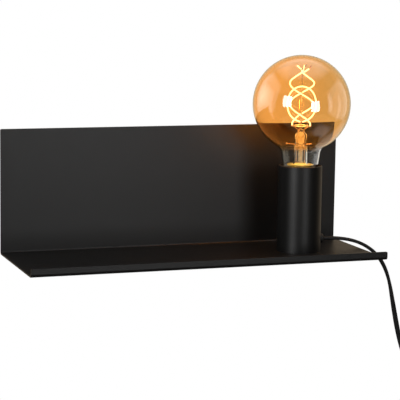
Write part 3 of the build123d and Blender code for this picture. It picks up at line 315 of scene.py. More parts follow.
print("background: room", ROOM, "wall", WALL, "screen", SCREEN)

# %% [markdown]
# ## Lamps of the studio
# Two softboxes stand either side of the camera, with a dim one between them. They give the two soft lines
# on the cup and light the front of the panel, and a fourth above draws a fine line along the folds. Glass
# returns only a twenty-fifth of what it mirrors, so it gets brighter lamps of its own, linked to it alone:
# two with sharp edges, and screens and strips that fade towards theirs.

# %% Helpers for lamps
GLOBE_CENTRE = Vector((0.110, -0.06425, 0.0577))
MIDDLE_PRODUCT = 1 / 16


def fade_edges(lamp, gain):
    """Fade a lamp by the product of the distances to its edges: a larger gain keeps more of it bright."""
    lamp.use_nodes = True
    tree = lamp.node_tree
    place = split_up(tree, tree.nodes.new("ShaderNodeNewGeometry").outputs["Parametric"])
    across_lamp, up_lamp = (
        calculated(tree, "MULTIPLY", place[axis], calculated(tree, "SUBTRACT", 1.0, place[axis]))
        for axis in ("X", "Y")
    )
    area = calculated(tree, "MULTIPLY", across_lamp, up_lamp)
    share = calculated(tree, "MULTIPLY", area, gain / MIDDLE_PRODUCT, clamp=True)
    feed(tree, tree.nodes["Emission"].inputs["Strength"], share)


def studio_lamp(name, angles, size, distance, brightness, gain, receivers):
    """A flat lamp that faces the globe. A white sheet in full light has a brightness of 1."""
    lamp = bpy.data.lights.new(name, "AREA")
    lamp.shape = "RECTANGLE"
    lamp.size, lamp.size_y = size
    lamp.energy = brightness * math.pi * lamp.size * lamp.size_y
    if gain:
        fade_edges(lamp, gain)
    holder = bpy.data.objects.new(name, lamp)
    arrow = towards(*(math.radians(angle) for angle in angles))
    holder.location = GLOBE_CENTRE + distance * arrow
    holder.rotation_euler = arrow.to_track_quat("Z", "Y").to_euler()
    holder.visible_camera = holder.visible_transmission = False
    holder.light_linking.receiver_collection = receivers
    scene.collection.objects.link(holder)
    return lamp.energy


print("lamp helpers ready")

# %% [markdown]
# Each row names a lamp and gives its azimuth and elevation in degrees, its width and height and its
# distance in metres, its brightness, and the gain of its fading: with None, its edges are sharp.

# %% Softboxes and screens
glass_only = bpy.data.collections.new("glass_only")
all_but_glass = bpy.data.collections.new("all_but_glass")
SOFTBOXES = [
    ("softbox_left", (-55.0, 7.0), (0.66, 0.70), 1.55, 6.6, None),
    ("softbox_right", (8.5, 0.5), (0.56, 0.68), 1.55, 3.1, None),
    ("softbox_middle", (-26.0, 2.0), (0.70, 0.80), 1.60, 0.4, 1.0),
    ("softbox_above", (40.0, 55.0), (1.2, 1.0), 2.0, 1.6, None),
]
GLASS_LAMPS = [
    ("glint_left", (-57.0, 9.0), (0.52, 0.62), 1.40, 22.0, None),
    ("glint_right", (8.5, -1.5), (0.49, 0.59), 1.40, 22.0, None),
    ("screen_left", (-119.5, 14.0), (2.2, 1.9), 1.50, 1.9, 3.0),
    ("streak_left", (-121.5, 10.2), (1.35, 0.98), 1.45, 3.8, 1.0),
    ("line_left", (-99.0, -3.0), (0.25, 1.5), 1.42, 1.5, 1.0),
    ("screen_right", (76.0, 5.0), (2.2, 1.6), 1.50, 1.35, 3.0),
    ("line_right", (46.2, 3.4), (0.40, 1.1), 1.45, 2.8, 1.0),
    ("line_far_right", (75.0, -5.0), (0.35, 1.2), 1.42, 1.4, 1.0),
    ("screen_low_right", (120.0, -39.0), (1.3, 1.3), 1.50, 0.6, 2.0),
    ("screen_low", (52.0, -52.0), (1.2, 0.8), 1.50, 1.1, 1.5),
    ("screen_above", (156.0, 80.0), (2.5, 2.5), 1.50, 2.1, 1.5),
]
for lamps, receivers in ((SOFTBOXES, all_but_glass), (GLASS_LAMPS, glass_only)):
    for row in lamps:
        watts = studio_lamp(*row, receivers)
        print(row[0], round(watts, 1), "W")

# %% [markdown]
# ## Finishes
# Every finish starts from one shader with its plain values on the sockets. Patterns in the piece's own
# coordinates then vary the colour, the roughness and the height, at the size that the real surface shows.

# %% Helpers for finishes
COLOUR_SPREAD, ROUGHNESS_SPREAD = (0.35, 0.65), (0.3, 0.7)


def pattern(material, scale):
    """Noise in the piece's own coordinates. A larger scale makes it finer."""
    tree = material.node_tree
    noise = tree.nodes.new("ShaderNodeTexNoise")
    noise.inputs["Scale"].default_value = scale
    noise.inputs["Detail"].default_value = 2.0
    feed(tree, noise.inputs["Vector"], tree.nodes.new("ShaderNodeTexCoord").outputs["Object"])
    return noise.outputs[0]


def vary_colour(material, source, dark, pale):
    """Let the colour drift between two tones."""
    tree = material.node_tree
    ramp = tree.nodes.new("ShaderNodeValToRGB")
    for element, place, colour in zip(ramp.color_ramp.elements, COLOUR_SPREAD, (dark, pale)):
        element.position = place
        element.color = (*colour, 1)
    feed(tree, ramp.inputs["Fac"], source)
    feed(tree, tree.nodes["Principled BSDF"].inputs["Base Color"], ramp.outputs["Color"])


def vary_roughness(material, source, smooth, rough):
    """Let the roughness drift between two values."""
    tree = material.node_tree
    drift = ramped(tree, source, *ROUGHNESS_SPREAD, smooth, rough)
    feed(tree, tree.nodes["Principled BSDF"].inputs["Roughness"], drift)


def raise_grain(material, source, height):
    """Raise the surface by a pattern, to a height in metres."""
    tree = material.node_tree
    bump = tree.nodes.new("ShaderNodeBump")
    bump.inputs["Strength"].default_value = 1.0
    bump.inputs["Distance"].default_value = height
    feed(tree, bump.inputs["Height"], source)
    feed(tree, tree.nodes["Principled BSDF"].inputs["Normal"], bump.outputs["Normal"])


def dress(material, *names):
    """Give solids a finish."""
    for name in names:
        for place in nodes[name].material_slots:
            place.material = material


print("finish helpers ready")

# %% [markdown]
# The shelf and the cup are powder coated in satin black. The coat hardly scatters light, so what shows is
# its soft gloss: the roughness sets how wide the softboxes spread in it, and a fine grain breaks them up.

# %% Black powder coat
paint = finish("black_powder_coat", (0.0018, 0.0018, 0.0017), 0.41, Specular_IOR_Level=0.5)
vary_colour(paint, pattern(paint, 60.0), (0.0016, 0.0016, 0.0015), (0.0020, 0.0020, 0.0019))
vary_roughness(paint, pattern(paint, 260.0), 0.395, 0.425)
raise_grain(paint, pattern(paint, 1300.0), 0.000002)
dress(paint, "shelf_body", "holder_cup")
print("dressed", paint.name)

# %% [markdown]
# Brackets, nuts and screws are zinc plated, contacts are brass, and the cap and the pins carry a satin
# nickel. Plating is never even, so the tone and the roughness of each metal drift. Solder is lumpy.

# %% Zinc, brass, nickel, tin and wire
zinc = finish("bright_zinc", (0.60, 0.61, 0.62), 0.35, Metallic=1.0)
vary_colour(zinc, pattern(zinc, 240.0), (0.52, 0.53, 0.53), (0.68, 0.68, 0.66))
vary_roughness(zinc, pattern(zinc, 500.0), 0.28, 0.48)
raise_grain(zinc, pattern(zinc, 900.0), 0.000008)
dress(zinc, "wall_bracket", "hanger_rail", "nipple", "nipple_nuts", "lock_washer", "stirrup",
      "stirrup_screws", "terminal_screws", "switch_screws")
brass = finish("stamped_brass", (0.78, 0.55, 0.24), 0.3, Metallic=1.0)
vary_colour(brass, pattern(brass, 180.0), (0.66, 0.44, 0.17), (0.84, 0.62, 0.30))
vary_roughness(brass, pattern(brass, 420.0), 0.22, 0.42)
dress(brass, "screw_shell", "centre_contact", "contact_rivets", "terminal_blocks", "switch_terminals")
nickel = finish("nickel_plate", (0.72, 0.70, 0.66), 0.4, Metallic=1.0)
vary_colour(nickel, pattern(nickel, 200.0), (0.66, 0.64, 0.60), (0.78, 0.76, 0.72))
vary_roughness(nickel, pattern(nickel, 600.0), 0.34, 0.50)
dress(nickel, "bulb_cap", "plug_pins")
tin = finish("solder_tin", (0.66, 0.66, 0.67), 0.4, Metallic=1.0)
vary_roughness(tin, pattern(tin, 700.0), 0.30, 0.55)
raise_grain(tin, pattern(tin, 500.0), 0.00006)
dress(tin, "cap_contact")
wire_metal = finish("drawn_wire", (0.60, 0.57, 0.52), 0.3, Metallic=1.0)
vary_roughness(wire_metal, pattern(wire_metal, 900.0), 0.22, 0.42)
dress(wire_metal, "filament_supports")
print("dressed", zinc.name, brass.name, nickel.name, tin.name, wire_metal.name)

# %% [markdown]
# The lampholder is glazed ceramic, the cone under the cap is black glass, and the small board is coated.
# The switch and the plug are moulded with a fine grain, and the key of the switch is polished.

# %% Ceramic, black glass, board and plastics
ceramic = finish("glazed_ceramic", (0.78, 0.76, 0.71), 0.2)
vary_colour(ceramic, pattern(ceramic, 130.0), (0.72, 0.70, 0.64), (0.82, 0.80, 0.76))
vary_roughness(ceramic, pattern(ceramic, 260.0), 0.12, 0.30)
raise_grain(ceramic, pattern(ceramic, 320.0), 0.00002)
dress(ceramic, "holder_body")
insulator = finish("black_glass", (0.012, 0.011, 0.012), 0.08)
vary_roughness(insulator, pattern(insulator, 400.0), 0.05, 0.16)
dress(insulator, "cap_insulator")
board = finish("coated_board", (0.72, 0.70, 0.62), 0.5)
vary_colour(board, pattern(board, 900.0), (0.66, 0.64, 0.55), (0.76, 0.74, 0.67))
dress(board, "driver_board")
plastic = finish("moulded_black", (0.014, 0.014, 0.0145), 0.45)
vary_colour(plastic, pattern(plastic, 150.0), (0.012, 0.012, 0.0125), (0.017, 0.017, 0.0175))
vary_roughness(plastic, pattern(plastic, 500.0), 0.38, 0.55)
raise_grain(plastic, pattern(plastic, 2600.0), 0.00002)
dress(plastic, "switch_front", "switch_back", "plug_body", "pin_sleeves")
key = finish("polished_key", (0.016, 0.016, 0.016), 0.22)
vary_roughness(key, pattern(key, 300.0), 0.16, 0.30)
dress(key, "switch_rocker")
print("dressed", ceramic.name, insulator.name, board.name, plastic.name, key.name)

# %% [markdown]
# The pads are matt rubber, the cores have a brown and a blue sheath, and the strap is woven. The cord's
# sheath is the darkest of them. The bush that it leaves the cup by, and its nut, share that finish.

# %% Rubber, cores, strap and cord
rubber = finish("pad_rubber", (0.02, 0.02, 0.02), 0.8)
vary_colour(rubber, pattern(rubber, 700.0), (0.015, 0.015, 0.015), (0.03, 0.03, 0.03))
raise_grain(rubber, pattern(rubber, 1500.0), 0.00004)
dress(rubber, "wall_pads")
for name, dark, pale in (("live_core", (0.11, 0.04, 0.018), (0.15, 0.06, 0.025)),
                         ("neutral_core", (0.03, 0.10, 0.32), (0.045, 0.14, 0.40))):
    core = finish(name + "_sheath", pale, 0.4)
    vary_colour(core, pattern(core, 300.0), dark, pale)
    dress(core, name)
woven = finish("woven_strap", (0.02, 0.02, 0.02), 0.85)
vary_colour(woven, pattern(woven, 1800.0), (0.012, 0.012, 0.012), (0.032, 0.032, 0.033))
raise_grain(woven, pattern(woven, 1800.0), 0.00012)
dress(woven, "coil_tie")
sheath = finish("cord_sheath", (0.004, 0.004, 0.004), 0.5)
vary_colour(sheath, pattern(sheath, 220.0), (0.0034, 0.0034, 0.0034), (0.0046, 0.0046, 0.0046))
vary_roughness(sheath, pattern(sheath, 420.0), 0.46, 0.56)
raise_grain(sheath, pattern(sheath, 1500.0), 0.00001)
cord_curve.materials.append(sheath)
dress(sheath, "cord_gland", "gland_nut", "cord_lead", "cord_link", "cord_coil", "cord_tail")
print("dressed", rubber.name, woven.name, sheath.name, "and the two cores")

# %% [markdown]
# The globe's glass carries an amber film. It ends where the globe runs into the neck, which stays clear. On
# the right the film is made a little weaker in red: a painted shade for the dimmer right side of the globe,
# not a change in the film. Two mixes over the place in the piece hold that. Light that passes the glass
# turns amber too, so a shadow ray meets a clear film of the same colour.

# %% Glass and filament
NECK_TONE, LEFT_TONE, RIGHT_PAINTED_SHADE_TONE = (0.90, 0.88, 0.82, 1), (0.98, 0.62, 0.27, 1), (0.82, 0.585, 0.29, 1)
PAINTED_SHADE_CHANGE, FILM_END = (0.105, 0.150), (0.0142, 0.0182)
FILAMENTS = ("filament_left", "filament_right", "filament_arch")
amber = finish("amber_glass", (0.95, 0.61, 0.28), 0.0, Transmission_Weight=1.0, IOR=1.47)
tree = amber.node_tree
place = split_up(tree, tree.nodes.new("ShaderNodeTexCoord").outputs["Object"])
# The weaker red towards the right is painted shade.
ball_tone_with_painted_shade = mixed(tree, "RGBA", ramped(tree, place["X"], *PAINTED_SHADE_CHANGE), LEFT_TONE, RIGHT_PAINTED_SHADE_TONE)
tint = mixed(tree, "RGBA", ramped(tree, place["Z"], *FILM_END), NECK_TONE, ball_tone_with_painted_shade)
shader = tree.nodes["Principled BSDF"]
film = tree.nodes.new("ShaderNodeBsdfTransparent")
either = tree.nodes.new("ShaderNodeMixShader")
feed(tree, shader.inputs["Base Color"], tint)
feed(tree, film.inputs["Color"], tint)
feed(tree, either.inputs["Fac"], tree.nodes.new("ShaderNodeLightPath").outputs["Is Shadow Ray"])
feed(tree, either.inputs[1], shader.outputs["BSDF"])
feed(tree, either.inputs[2], film.outputs["BSDF"])
feed(tree, tree.nodes["Material Output"].inputs["Surface"], either.outputs["Shader"])
dress(amber, "bulb_globe")
clear = finish("clear_glass", (0.97, 0.96, 0.93), 0.0, Transmission_Weight=1.0, IOR=1.5)
dress(clear, "bulb_stem")
filament = finish("glowing_filament", (1.0, 0.75, 0.40), 0.6, Emission_Strength=2.8,
                  Emission_Color=(1.0, 0.86, 0.76, 1))
dress(filament, *FILAMENTS)
print("dressed", amber.name, clear.name, filament.name)

# %% [markdown]
# ## Glass and wires of the bulb
# Round glass is turned, so half its section is drawn as a line and spun a full turn. Wires are curves with
# a round section. Both end as plain meshes, which can be joined and moved.

# %% Helpers for pieces
WELD = 0.002 * MM


def line_shape(points):
    """A shape that holds one open line of points, given as millimetres from the axis and upwards."""
    shape = bmesh.new()
    corners = [shape.verts.new((out * MM, 0, height * MM)) for out, height in points]
    for pair in zip(corners, corners[1:]):
        shape.edges.new(pair)
    return shape


def turned(points, steps=64):
    """A turned shape: half a section, spun a full turn about the upright axis."""
    shape = line_shape(points)
    bmesh.ops.spin(shape, geom=shape.verts[:] + shape.edges[:], cent=(0, 0, 0), axis=(0, 0, 1),
                   angle=2 * math.pi, steps=steps, use_merge=True)
    bmesh.ops.remove_doubles(shape, verts=shape.verts[:], dist=WELD)
    bmesh.ops.recalc_face_normals(shape, faces=shape.faces[:])
    return shape


def wire(points, radius):
    """A round wire along a smooth line of points."""
    curve = bpy.data.curves.new("wire", "CURVE")
    curve.dimensions = "3D"
    curve.bevel_depth, curve.bevel_resolution, curve.use_fill_caps = radius, 3, True
    run = curve.splines.new("NURBS")
    run.points.add(len(points) - 1)
    for point, place in zip(run.points, points):
        point.co = (*place, 1)
    run.order_u, run.use_endpoint_u = 3, True
    holder = bpy.data.objects.new("wire", curve)
    mesh = bpy.data.meshes.new_from_object(holder)
    shape = bmesh.new()
    shape.from_mesh(mesh)
    bmesh.ops.remove_doubles(shape, verts=shape.verts[:], dist=WELD)
    bpy.data.meshes.remove(mesh)
    bpy.data.curves.remove(curve)
    return shape


def joined(*shapes):
    """Several shapes as one."""
    whole = bmesh.new()
    for shape in shapes:
        mesh = bpy.data.meshes.new("share")
        shape.to_mesh(mesh)
        whole.from_mesh(mesh)
        shape.free()
        bpy.data.meshes.remove(mesh)
    return whole


def moved(shape, arrow):
    """The same shape, moved by an arrow."""
    bmesh.ops.translate(shape, verts=shape.verts, vec=arrow)
    return shape


def leaned(shape, angle):
    """The same shape, turned about the axis that points right."""
    bmesh.ops.rotate(shape, verts=shape.verts, cent=(0, 0, 0), matrix=Matrix.Rotation(angle, 3, "X"))
    return shape


def piece(name, shape, material, body, sharp=35):
    """Make a piece of a shape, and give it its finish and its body."""
    mesh = bpy.data.meshes.new(name)
    shape.to_mesh(mesh)
    shape.free()
    mesh.shade_smooth()
    mesh.set_sharp_from_angle(angle=math.radians(sharp))
    mesh.materials.append(material)
    made = bpy.data.objects.new(name, mesh)
    scene.collection.objects.link(made)
    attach(made, body)
    print("made", name, "with", len(mesh.polygons), "faces")
    return made


print("piece helpers ready")

# %% [markdown]
# The globe is a ball that runs through a hollow curve into a slightly tapered neck, and closes in round
# the cap. The same line, moved inwards by the glass's thickness, gives its inner side.

# %% Globe
GLOBE_RADIUS, HOLLOW_RADIUS, GLASS_THICKNESS = 47.5, 8.0, 0.9
NECK_FOOT, CAP_TOP, CAP_RADIUS = -60.0, -63.5, 13.3
MEET_LEAN, NECK_LEAN = math.radians(61), math.radians(8)
BALL_STEPS, HOLLOW_STEPS, FOOT_STEPS = 60, 12, 8
outside = []
for step in range(BALL_STEPS + 1):
    angle = (math.pi / 2 + MEET_LEAN) * step / BALL_STEPS
    outside.append((GLOBE_RADIUS * math.sin(angle), GLOBE_RADIUS * math.cos(angle)))
meet_out, meet_height = outside[-1]
for step in range(1, HOLLOW_STEPS + 1):
    lean = MEET_LEAN + (NECK_LEAN - MEET_LEAN) * step / HOLLOW_STEPS
    outside.append((meet_out - HOLLOW_RADIUS * (math.cos(lean) - math.cos(MEET_LEAN)),
                    meet_height - HOLLOW_RADIUS * (math.sin(MEET_LEAN) - math.sin(lean))))
neck_out, neck_height = outside[-1]
foot_out = neck_out - (neck_height - NECK_FOOT) * math.tan(NECK_LEAN)
for step in range(FOOT_STEPS + 1):
    angle = math.pi / 2 * step / FOOT_STEPS
    outside.append((CAP_RADIUS + (foot_out - CAP_RADIUS) * math.cos(angle),
                    NECK_FOOT + (CAP_TOP - NECK_FOOT) * math.sin(angle)))
inside = [(0.0, GLOBE_RADIUS - GLASS_THICKNESS)]
for before, here, after in zip(outside, outside[1:], outside[2:] + outside[-1:]):
    along = Vector((after[0] - before[0], after[1] - before[1])).normalized() * GLASS_THICKNESS
    inside.append((here[0] + along.y, here[1] - along.x))
shape = moved(turned(outside + inside[::-1], 96), GLOBE_CENTRE)
blown_globe = piece("blown_globe", shape, amber, "bulb")
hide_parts("bulb_globe")
glass_only.objects.link(blown_globe)
all_but_glass.objects.link(blown_globe)
all_but_glass.collection_objects[0].light_linking.link_state = "EXCLUDE"

# %% [markdown]
# Inside the neck stands a clear glass stem: a flared tube, sealed into the neck, whose upper end is
# pressed flat round the wires. A thinner tube, through which the bulb was emptied, stands in it. Lines of
# millimetres from the axis and upwards hold both, and the press is the stem's upper part, scaled.

# %% Glass stem
STEM_OUTSIDE = [
    (12.2, -62.9), (12.9, -62.2), (10.4, -61.4), (8.2, -60.1), (7.1, -58.0), (6.8, -55.0), (6.8, -42.0),
    (6.5, -40.4), (5.6, -39.0), (5.4, -37.5), (5.4, -35.5), (6.0, -32.5), (6.2, -31.0), (5.5, -29.2),
    (4.2, -27.9), (3.5, -26.6), (3.3, -25.4), (2.8, -25.0), (0, -25.0),
]
STEM_INSIDE = [
    (0, -40.4), (3.0, -40.6), (5.0, -41.6), (5.8, -43.2), (5.8, -55.0), (6.1, -58.0), (7.3, -60.9),
    (9.9, -62.4), (12.2, -62.9),
]
TUBE = [(2.2, -57.0), (2.2, -41.2), (1.3, -41.2), (1.3, -57.0), (2.2, -57.0)]
PRESS_FOOT, PRESS_FLATNESS = -39.2, 0.62
press_turn = Matrix.Rotation(-CAMERA_AZIMUTH, 4, "Z")


def pressed(shape, corners):
    """The same shape, with some of its corners pressed towards the plane that faces the camera."""
    bmesh.ops.scale(shape, vec=(1, PRESS_FLATNESS, 1), space=press_turn, verts=corners)
    return shape


shape = turned(STEM_OUTSIDE + STEM_INSIDE)
shape = pressed(shape, [corner for corner in shape.verts if corner.co.z > PRESS_FOOT * MM])
glass_stem = piece("glass_stem", moved(shape, GLOBE_CENTRE), clear, "bulb")
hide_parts("bulb_stem")
tube_glass = finish("tube_glass", (0.92, 0.80, 0.58), 0.1, Transmission_Weight=0.9, IOR=1.5)
shape = moved(turned(TUBE, 40), GLOBE_CENTRE)
exhaust_tube = piece("exhaust_tube", shape, tube_glass, "bulb")
for part in (glass_stem, exhaust_tube):
    part.visible_shadow = False

# %% [markdown]
# A dish of cement closes the neck at the stem's foot. Its colour holds painted light of the bulb: pale in
# its middle, dark towards its rim, with a faint painted glow.
# Above it, the glass of the press is milky where it closed round the wires, and a painted glow stands for
# the bulb's light on it.

# %% Cement dish and press core
DISH = [(0, -58.6), (4.0, -58.7), (9.0, -58.9), (12.6, -58.8), (13.0, -59.0), (12.7, -59.6), (9.0, -59.8),
        (0, -59.8)]
CORE = [(0, -27.0), (1.6, -27.4), (2.4, -29.0), (3.4, -31.0), (3.2, -33.5), (2.8, -36.0), (2.9, -38.0),
        (1.6, -39.2), (0, -39.4)]
DISH_MIDDLE, PAINTED_LIGHT_TO, PAINTED_SHADE_FROM = GLOBE_CENTRE + Vector((0, 0, -58.8 * MM)), 3 * MM, 13 * MM
# The cement's glow and its pale middle are painted light, and its dark rim is painted shade.
cement = finish("neck_cement_painted_light", (0.62, 0.52, 0.15), 0.55, Emission_Strength=0.14,
                Emission_Color=(1.0, 0.60, 0.12, 1))
tree = cement.node_tree
place = tree.nodes.new("ShaderNodeTexCoord").outputs["Object"]
painted_light_towards_rim = ramped(tree, measured(tree, "DISTANCE", place, DISH_MIDDLE), PAINTED_LIGHT_TO, PAINTED_SHADE_FROM)
vary_colour(cement, painted_light_towards_rim, (0.92, 0.72, 0.16), (0.22, 0.15, 0.02))
raise_grain(cement, pattern(cement, 900.0), 0.00008)
cement_dish = piece("cement_dish", moved(turned(DISH), GLOBE_CENTRE), cement, "bulb")
# The milky glass's glow is painted light of the bulb.
milky = finish("milky_glass_painted_glow", (0.64, 0.58, 0.44), 0.4, Emission_Strength=0.4,
               Emission_Color=(1.0, 0.80, 0.40, 1))
vary_colour(milky, pattern(milky, 300.0), (0.36, 0.30, 0.18), (0.76, 0.70, 0.54))
shape = turned(CORE, 40)
shape = pressed(shape, shape.verts)
press_core = piece("press_core", moved(shape, GLOBE_CENTRE), milky, "bulb")

# %% [markdown]
# Two lead wires rise through the stem into the press and out to the strands, and a third stands on the
# press. Beside it are two short wire ends: one with a bead on the left, and a bar on the right. At the
# top, three strand ends and an anchor wire stick out. All lie in the plane that faces the camera, so
# their places are millimetres to the right of the bulb's axis and upwards.

# %% Wires
LEAD = [(4.1, -59), (4.1, -50), (3.6, -42), (2.6, -34), (2.2, -26), (4.5, -23.6), (8.6, -21.6)]
WIRE_SHARP = 60
copper = finish("copper_wire", (0.80, 0.50, 0.28), 0.3, Metallic=1.0)
vary_roughness(copper, pattern(copper, 900.0), 0.22, 0.40)


def across(side, height):
    """A place in the bulb: millimetres to the right of its axis as the camera sees it, and up."""
    return GLOBE_CENTRE + MM * side * level_right + Vector((0, 0, height * MM))


def bulb_wire(radius, *places):
    """A wire in the bulb, by its radius in millimetres and its places."""
    return wire([across(side, height) for side, height in places], radius * MM)


leads = [bulb_wire(0.32, *((side * out, height) for out, height in LEAD)) for side in (-1, 1)]
centre_wire = bulb_wire(0.35, (-1.6, -26), (-2.2, -20), (-2.4, -8), (-2.2, 4))
lead_wires = piece("lead_wires", joined(*leads, centre_wire), copper, "bulb", WIRE_SHARP)
bead = bmesh.new()
bmesh.ops.create_uvsphere(bead, u_segments=20, v_segments=12, radius=0.9 * MM)
ends = joined(
    bulb_wire(0.2, (-5.2, -39.4), (-9.5, -39.4), (-13.6, -38.8)),
    moved(bead, across(-13.6, -38.8)),
    bulb_wire(0.75, (3.8, -39.6), (7.0, -39.8), (10.8, -39.2)),
)
wire_ends = piece("wire_ends", ends, copper, "bulb", WIRE_SHARP)
anchor = bulb_wire(0.6, (8.6, 37.2), (7.4, 35.6), (6.1, 33.5))
anchor_wire = piece("anchor_wire", anchor, copper, "bulb", WIRE_SHARP)
ends = joined(
    bulb_wire(0.85, (-5.2, 37.2), (-3.2, 35.8), (-1.1, 34.0)),
    bulb_wire(0.7, (6.6, 34.2), (4.2, 32.6), (1.5, 30.8)),
    bulb_wire(0.45, (1.9, 37.8), (1.4, 34.5), (0.5, 31.6)),
)
strand_ends = piece("strand_ends", ends, filament, "bulb", WIRE_SHARP)
for part in (lead_wires, wire_ends, anchor_wire, strand_ends, press_core):
    part.visible_shadow = False

# %% [markdown]
# The bulb lights its surroundings through the amber glass, and its own inside without it. So two lamps
# stand at the centre of the globe: a small one for the inside, and an amber one just larger than the glass
# for what stands round it, so that the black paint also mirrors a glowing globe. Only the shelf and the
# cup hold back the light of the amber one.

# %% Glow of the bulb
inner_pieces = [glass_stem, exhaust_tube, cement_dish, press_core, lead_wires, wire_ends, anchor_wire,
                nodes["filament_supports"]]
strands = [strand_ends] + [nodes[name] for name in FILAMENTS]
inside_bulb, around_bulb, glow_stops = (
    bpy.data.collections.new(name) for name in ("inside_bulb", "around_bulb", "glow_stops")
)
for members, collection in ((inner_pieces, inside_bulb),
                            (inner_pieces + strands + [blown_globe], around_bulb),
                            ([nodes["shelf_body"], nodes["holder_cup"]], glow_stops)):
    for member in members:
        collection.objects.link(member)
for member in around_bulb.collection_objects:
    member.light_linking.link_state = "EXCLUDE"
for name, power, colour, radius, receivers, stops in (
        ("bulb_glow", 0.25, (1.0, 0.35, 0.04), 48.5 * MM, around_bulb, glow_stops),
        ("inside_glow", 0.24, (1.0, 0.66, 0.27), 14 * MM, inside_bulb, None)):
    glow = bpy.data.lights.new(name, "POINT")
    glow.energy, glow.color, glow.shadow_soft_size = power, colour, radius
    holder = bpy.data.objects.new(name, glow)
    holder.location = GLOBE_CENTRE
    holder.visible_camera = holder.visible_transmission = False
    holder.light_linking.receiver_collection = receivers
    holder.light_linking.blocker_collection = stops
    scene.collection.objects.link(holder)
    print(name, power, "W")
for name in (*FILAMENTS, "filament_supports"):
    nodes[name].visible_shadow = False

# %% [markdown]
# ## Threads of the cap and the shell
# The bulb's cap and the holder's shell are thin sheet rolled into a round thread. A wavy line is spun one
# turn while it climbs by one pitch: its end then meets its start one wave higher, so the turns join. The
# tube is cut off level at both ends and gets its sheet thickness from a modifier.

# %% Helpers for threads
PITCH = 3.629
THREAD_SHARP = 50


def rolled_thread(crest, root, low, high, steps=72, waves=10):
    """A sheet tube with a round thread, between two heights in millimetres."""
    turns = math.ceil((high - low) / PITCH) + 2
    points = []
    for index in range(turns * waves + 1):
        swing = 0.5 + 0.5 * math.cos(2 * math.pi * index / waves)
        points.append((root + (crest - root) * swing, low + (index / waves - 1) * PITCH))
    shape = line_shape(points)
    bmesh.ops.spin(shape, geom=shape.verts[:] + shape.edges[:], cent=(0, 0, 0), axis=(0, 0, 1),
                   dvec=(0, 0, PITCH * MM / steps), angle=2 * math.pi, steps=steps)
    bmesh.ops.remove_doubles(shape, verts=shape.verts[:], dist=WELD)
    for height, side in ((low, -1), (high, 1)):
        bmesh.ops.bisect_plane(shape, geom=shape.verts[:] + shape.edges[:] + shape.faces[:],
                               plane_co=(0, 0, height * MM), plane_no=(0, 0, side), clear_outer=True)
    bmesh.ops.recalc_face_normals(shape, faces=shape.faces[:])
    return shape


def thicken(made, thickness, offset):
    """Give a sheet its thickness in millimetres: an offset of -1 adds it on the inside, 0 on both sides."""
    sheet = made.modifiers.new("sheet", "SOLIDIFY")
    sheet.thickness, sheet.offset = thickness * MM, offset


def sheet_tube(name, shapes, material, body, thickness):
    """A piece of rolled sheet, thickened towards its inside."""
    shape = joined(*shapes)
    outward = sum(face.normal.xy.dot(face.calc_center_median().xy) for face in shape.faces)
    if outward < 0:
        bmesh.ops.reverse_faces(shape, faces=shape.faces[:])
    shape = moved(shape, (GLOBE_CENTRE.x, GLOBE_CENTRE.y, 0))
    made = piece(name, shape, material, body, THREAD_SHARP)
    thicken(made, thickness, -1)
    return made


print("thread pitch in mm:", PITCH)

# %% Cap and shell
threaded_cap = sheet_tube("threaded_cap", [
    rolled_thread(13.0, 12.15, -27.2, -10.2),
    turned([(12.2, -10.4), (12.6, -9.8), (12.9, -9.2), (12.9, -6.2), (12.95, -5.8)]),
    turned([(4.9, -28.2), (10.4, -28.2), (11.6, -27.9), (12.2, -27.0)]),
], nickel, "bulb", 0.35)
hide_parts("bulb_cap")
threaded_shell = sheet_tube("threaded_shell", [
    rolled_thread(13.9, 13.3, -37.4, -11.4),
    turned([(13.35, -11.5), (13.6, -11.0), (13.85, -10.5)]),
    turned([(8.0, -38.1), (12.4, -38.1), (13.0, -37.9), (13.35, -37.3)]),
], brass, "lamp", 0.3)
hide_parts("screw_shell")

# %% [markdown]
# ## Strap of the coil
# A woven strap holds the coil: a flat band laid round the turns. The band is a loop with rounded corners,
# raised step by step to its width and thickened.

# %% Band of the strap
BAND_CORNER, BAND_STEPS, BAND_STEP, STRAP_SHARP = 3.4 * MM, 5, 2 * MM, 60


def rounded_loop(half_width, half_depth, corner, segments):
    """A shape that holds one closed loop: a level rectangle with round corners."""
    shape = bmesh.new()
    corners = [shape.verts.new((x * half_width, y * half_depth, 0))
               for x, y in ((-1, -1), (1, -1), (1, 1), (-1, 1))]
    for pair in zip(corners, corners[1:] + corners[:1]):
        shape.edges.new(pair)
    bmesh.ops.bevel(shape, geom=corners, offset=corner, affect="VERTICES", segments=segments, profile=0.5,
                    material=-1)
    return shape


low, high = (Vector(corner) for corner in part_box("coil_tie"))
middle, half_size = (low + high) / 2, (high - low) / 2
shape = rounded_loop(half_size.x, half_size.y, BAND_CORNER, 6)
for step in range(BAND_STEPS):
    above_this = (step - 0.1) * BAND_STEP
    rim = [edge for edge in shape.edges if all(corner.co.z > above_this for corner in edge.verts)]
    raised = bmesh.ops.extrude_edge_only(shape, edges=rim)["geom"]
    new_corners = [item for item in raised if isinstance(item, bmesh.types.BMVert)]
    bmesh.ops.translate(shape, verts=new_corners, vec=(0, 0, BAND_STEP))
bmesh.ops.recalc_face_normals(shape, faces=shape.faces[:])
shape = moved(shape, (middle.x, middle.y, low.z))
coil_strap = piece("coil_strap", shape, woven, "lamp", STRAP_SHARP)
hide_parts("coil_tie")
thicken(coil_strap, 0.9, -1)

# %% [markdown]
# The strap's end overlaps the band and stands a little away. It is a grid with a narrower tip, and its
# height grows with the square of the distance from where it leaves the band.

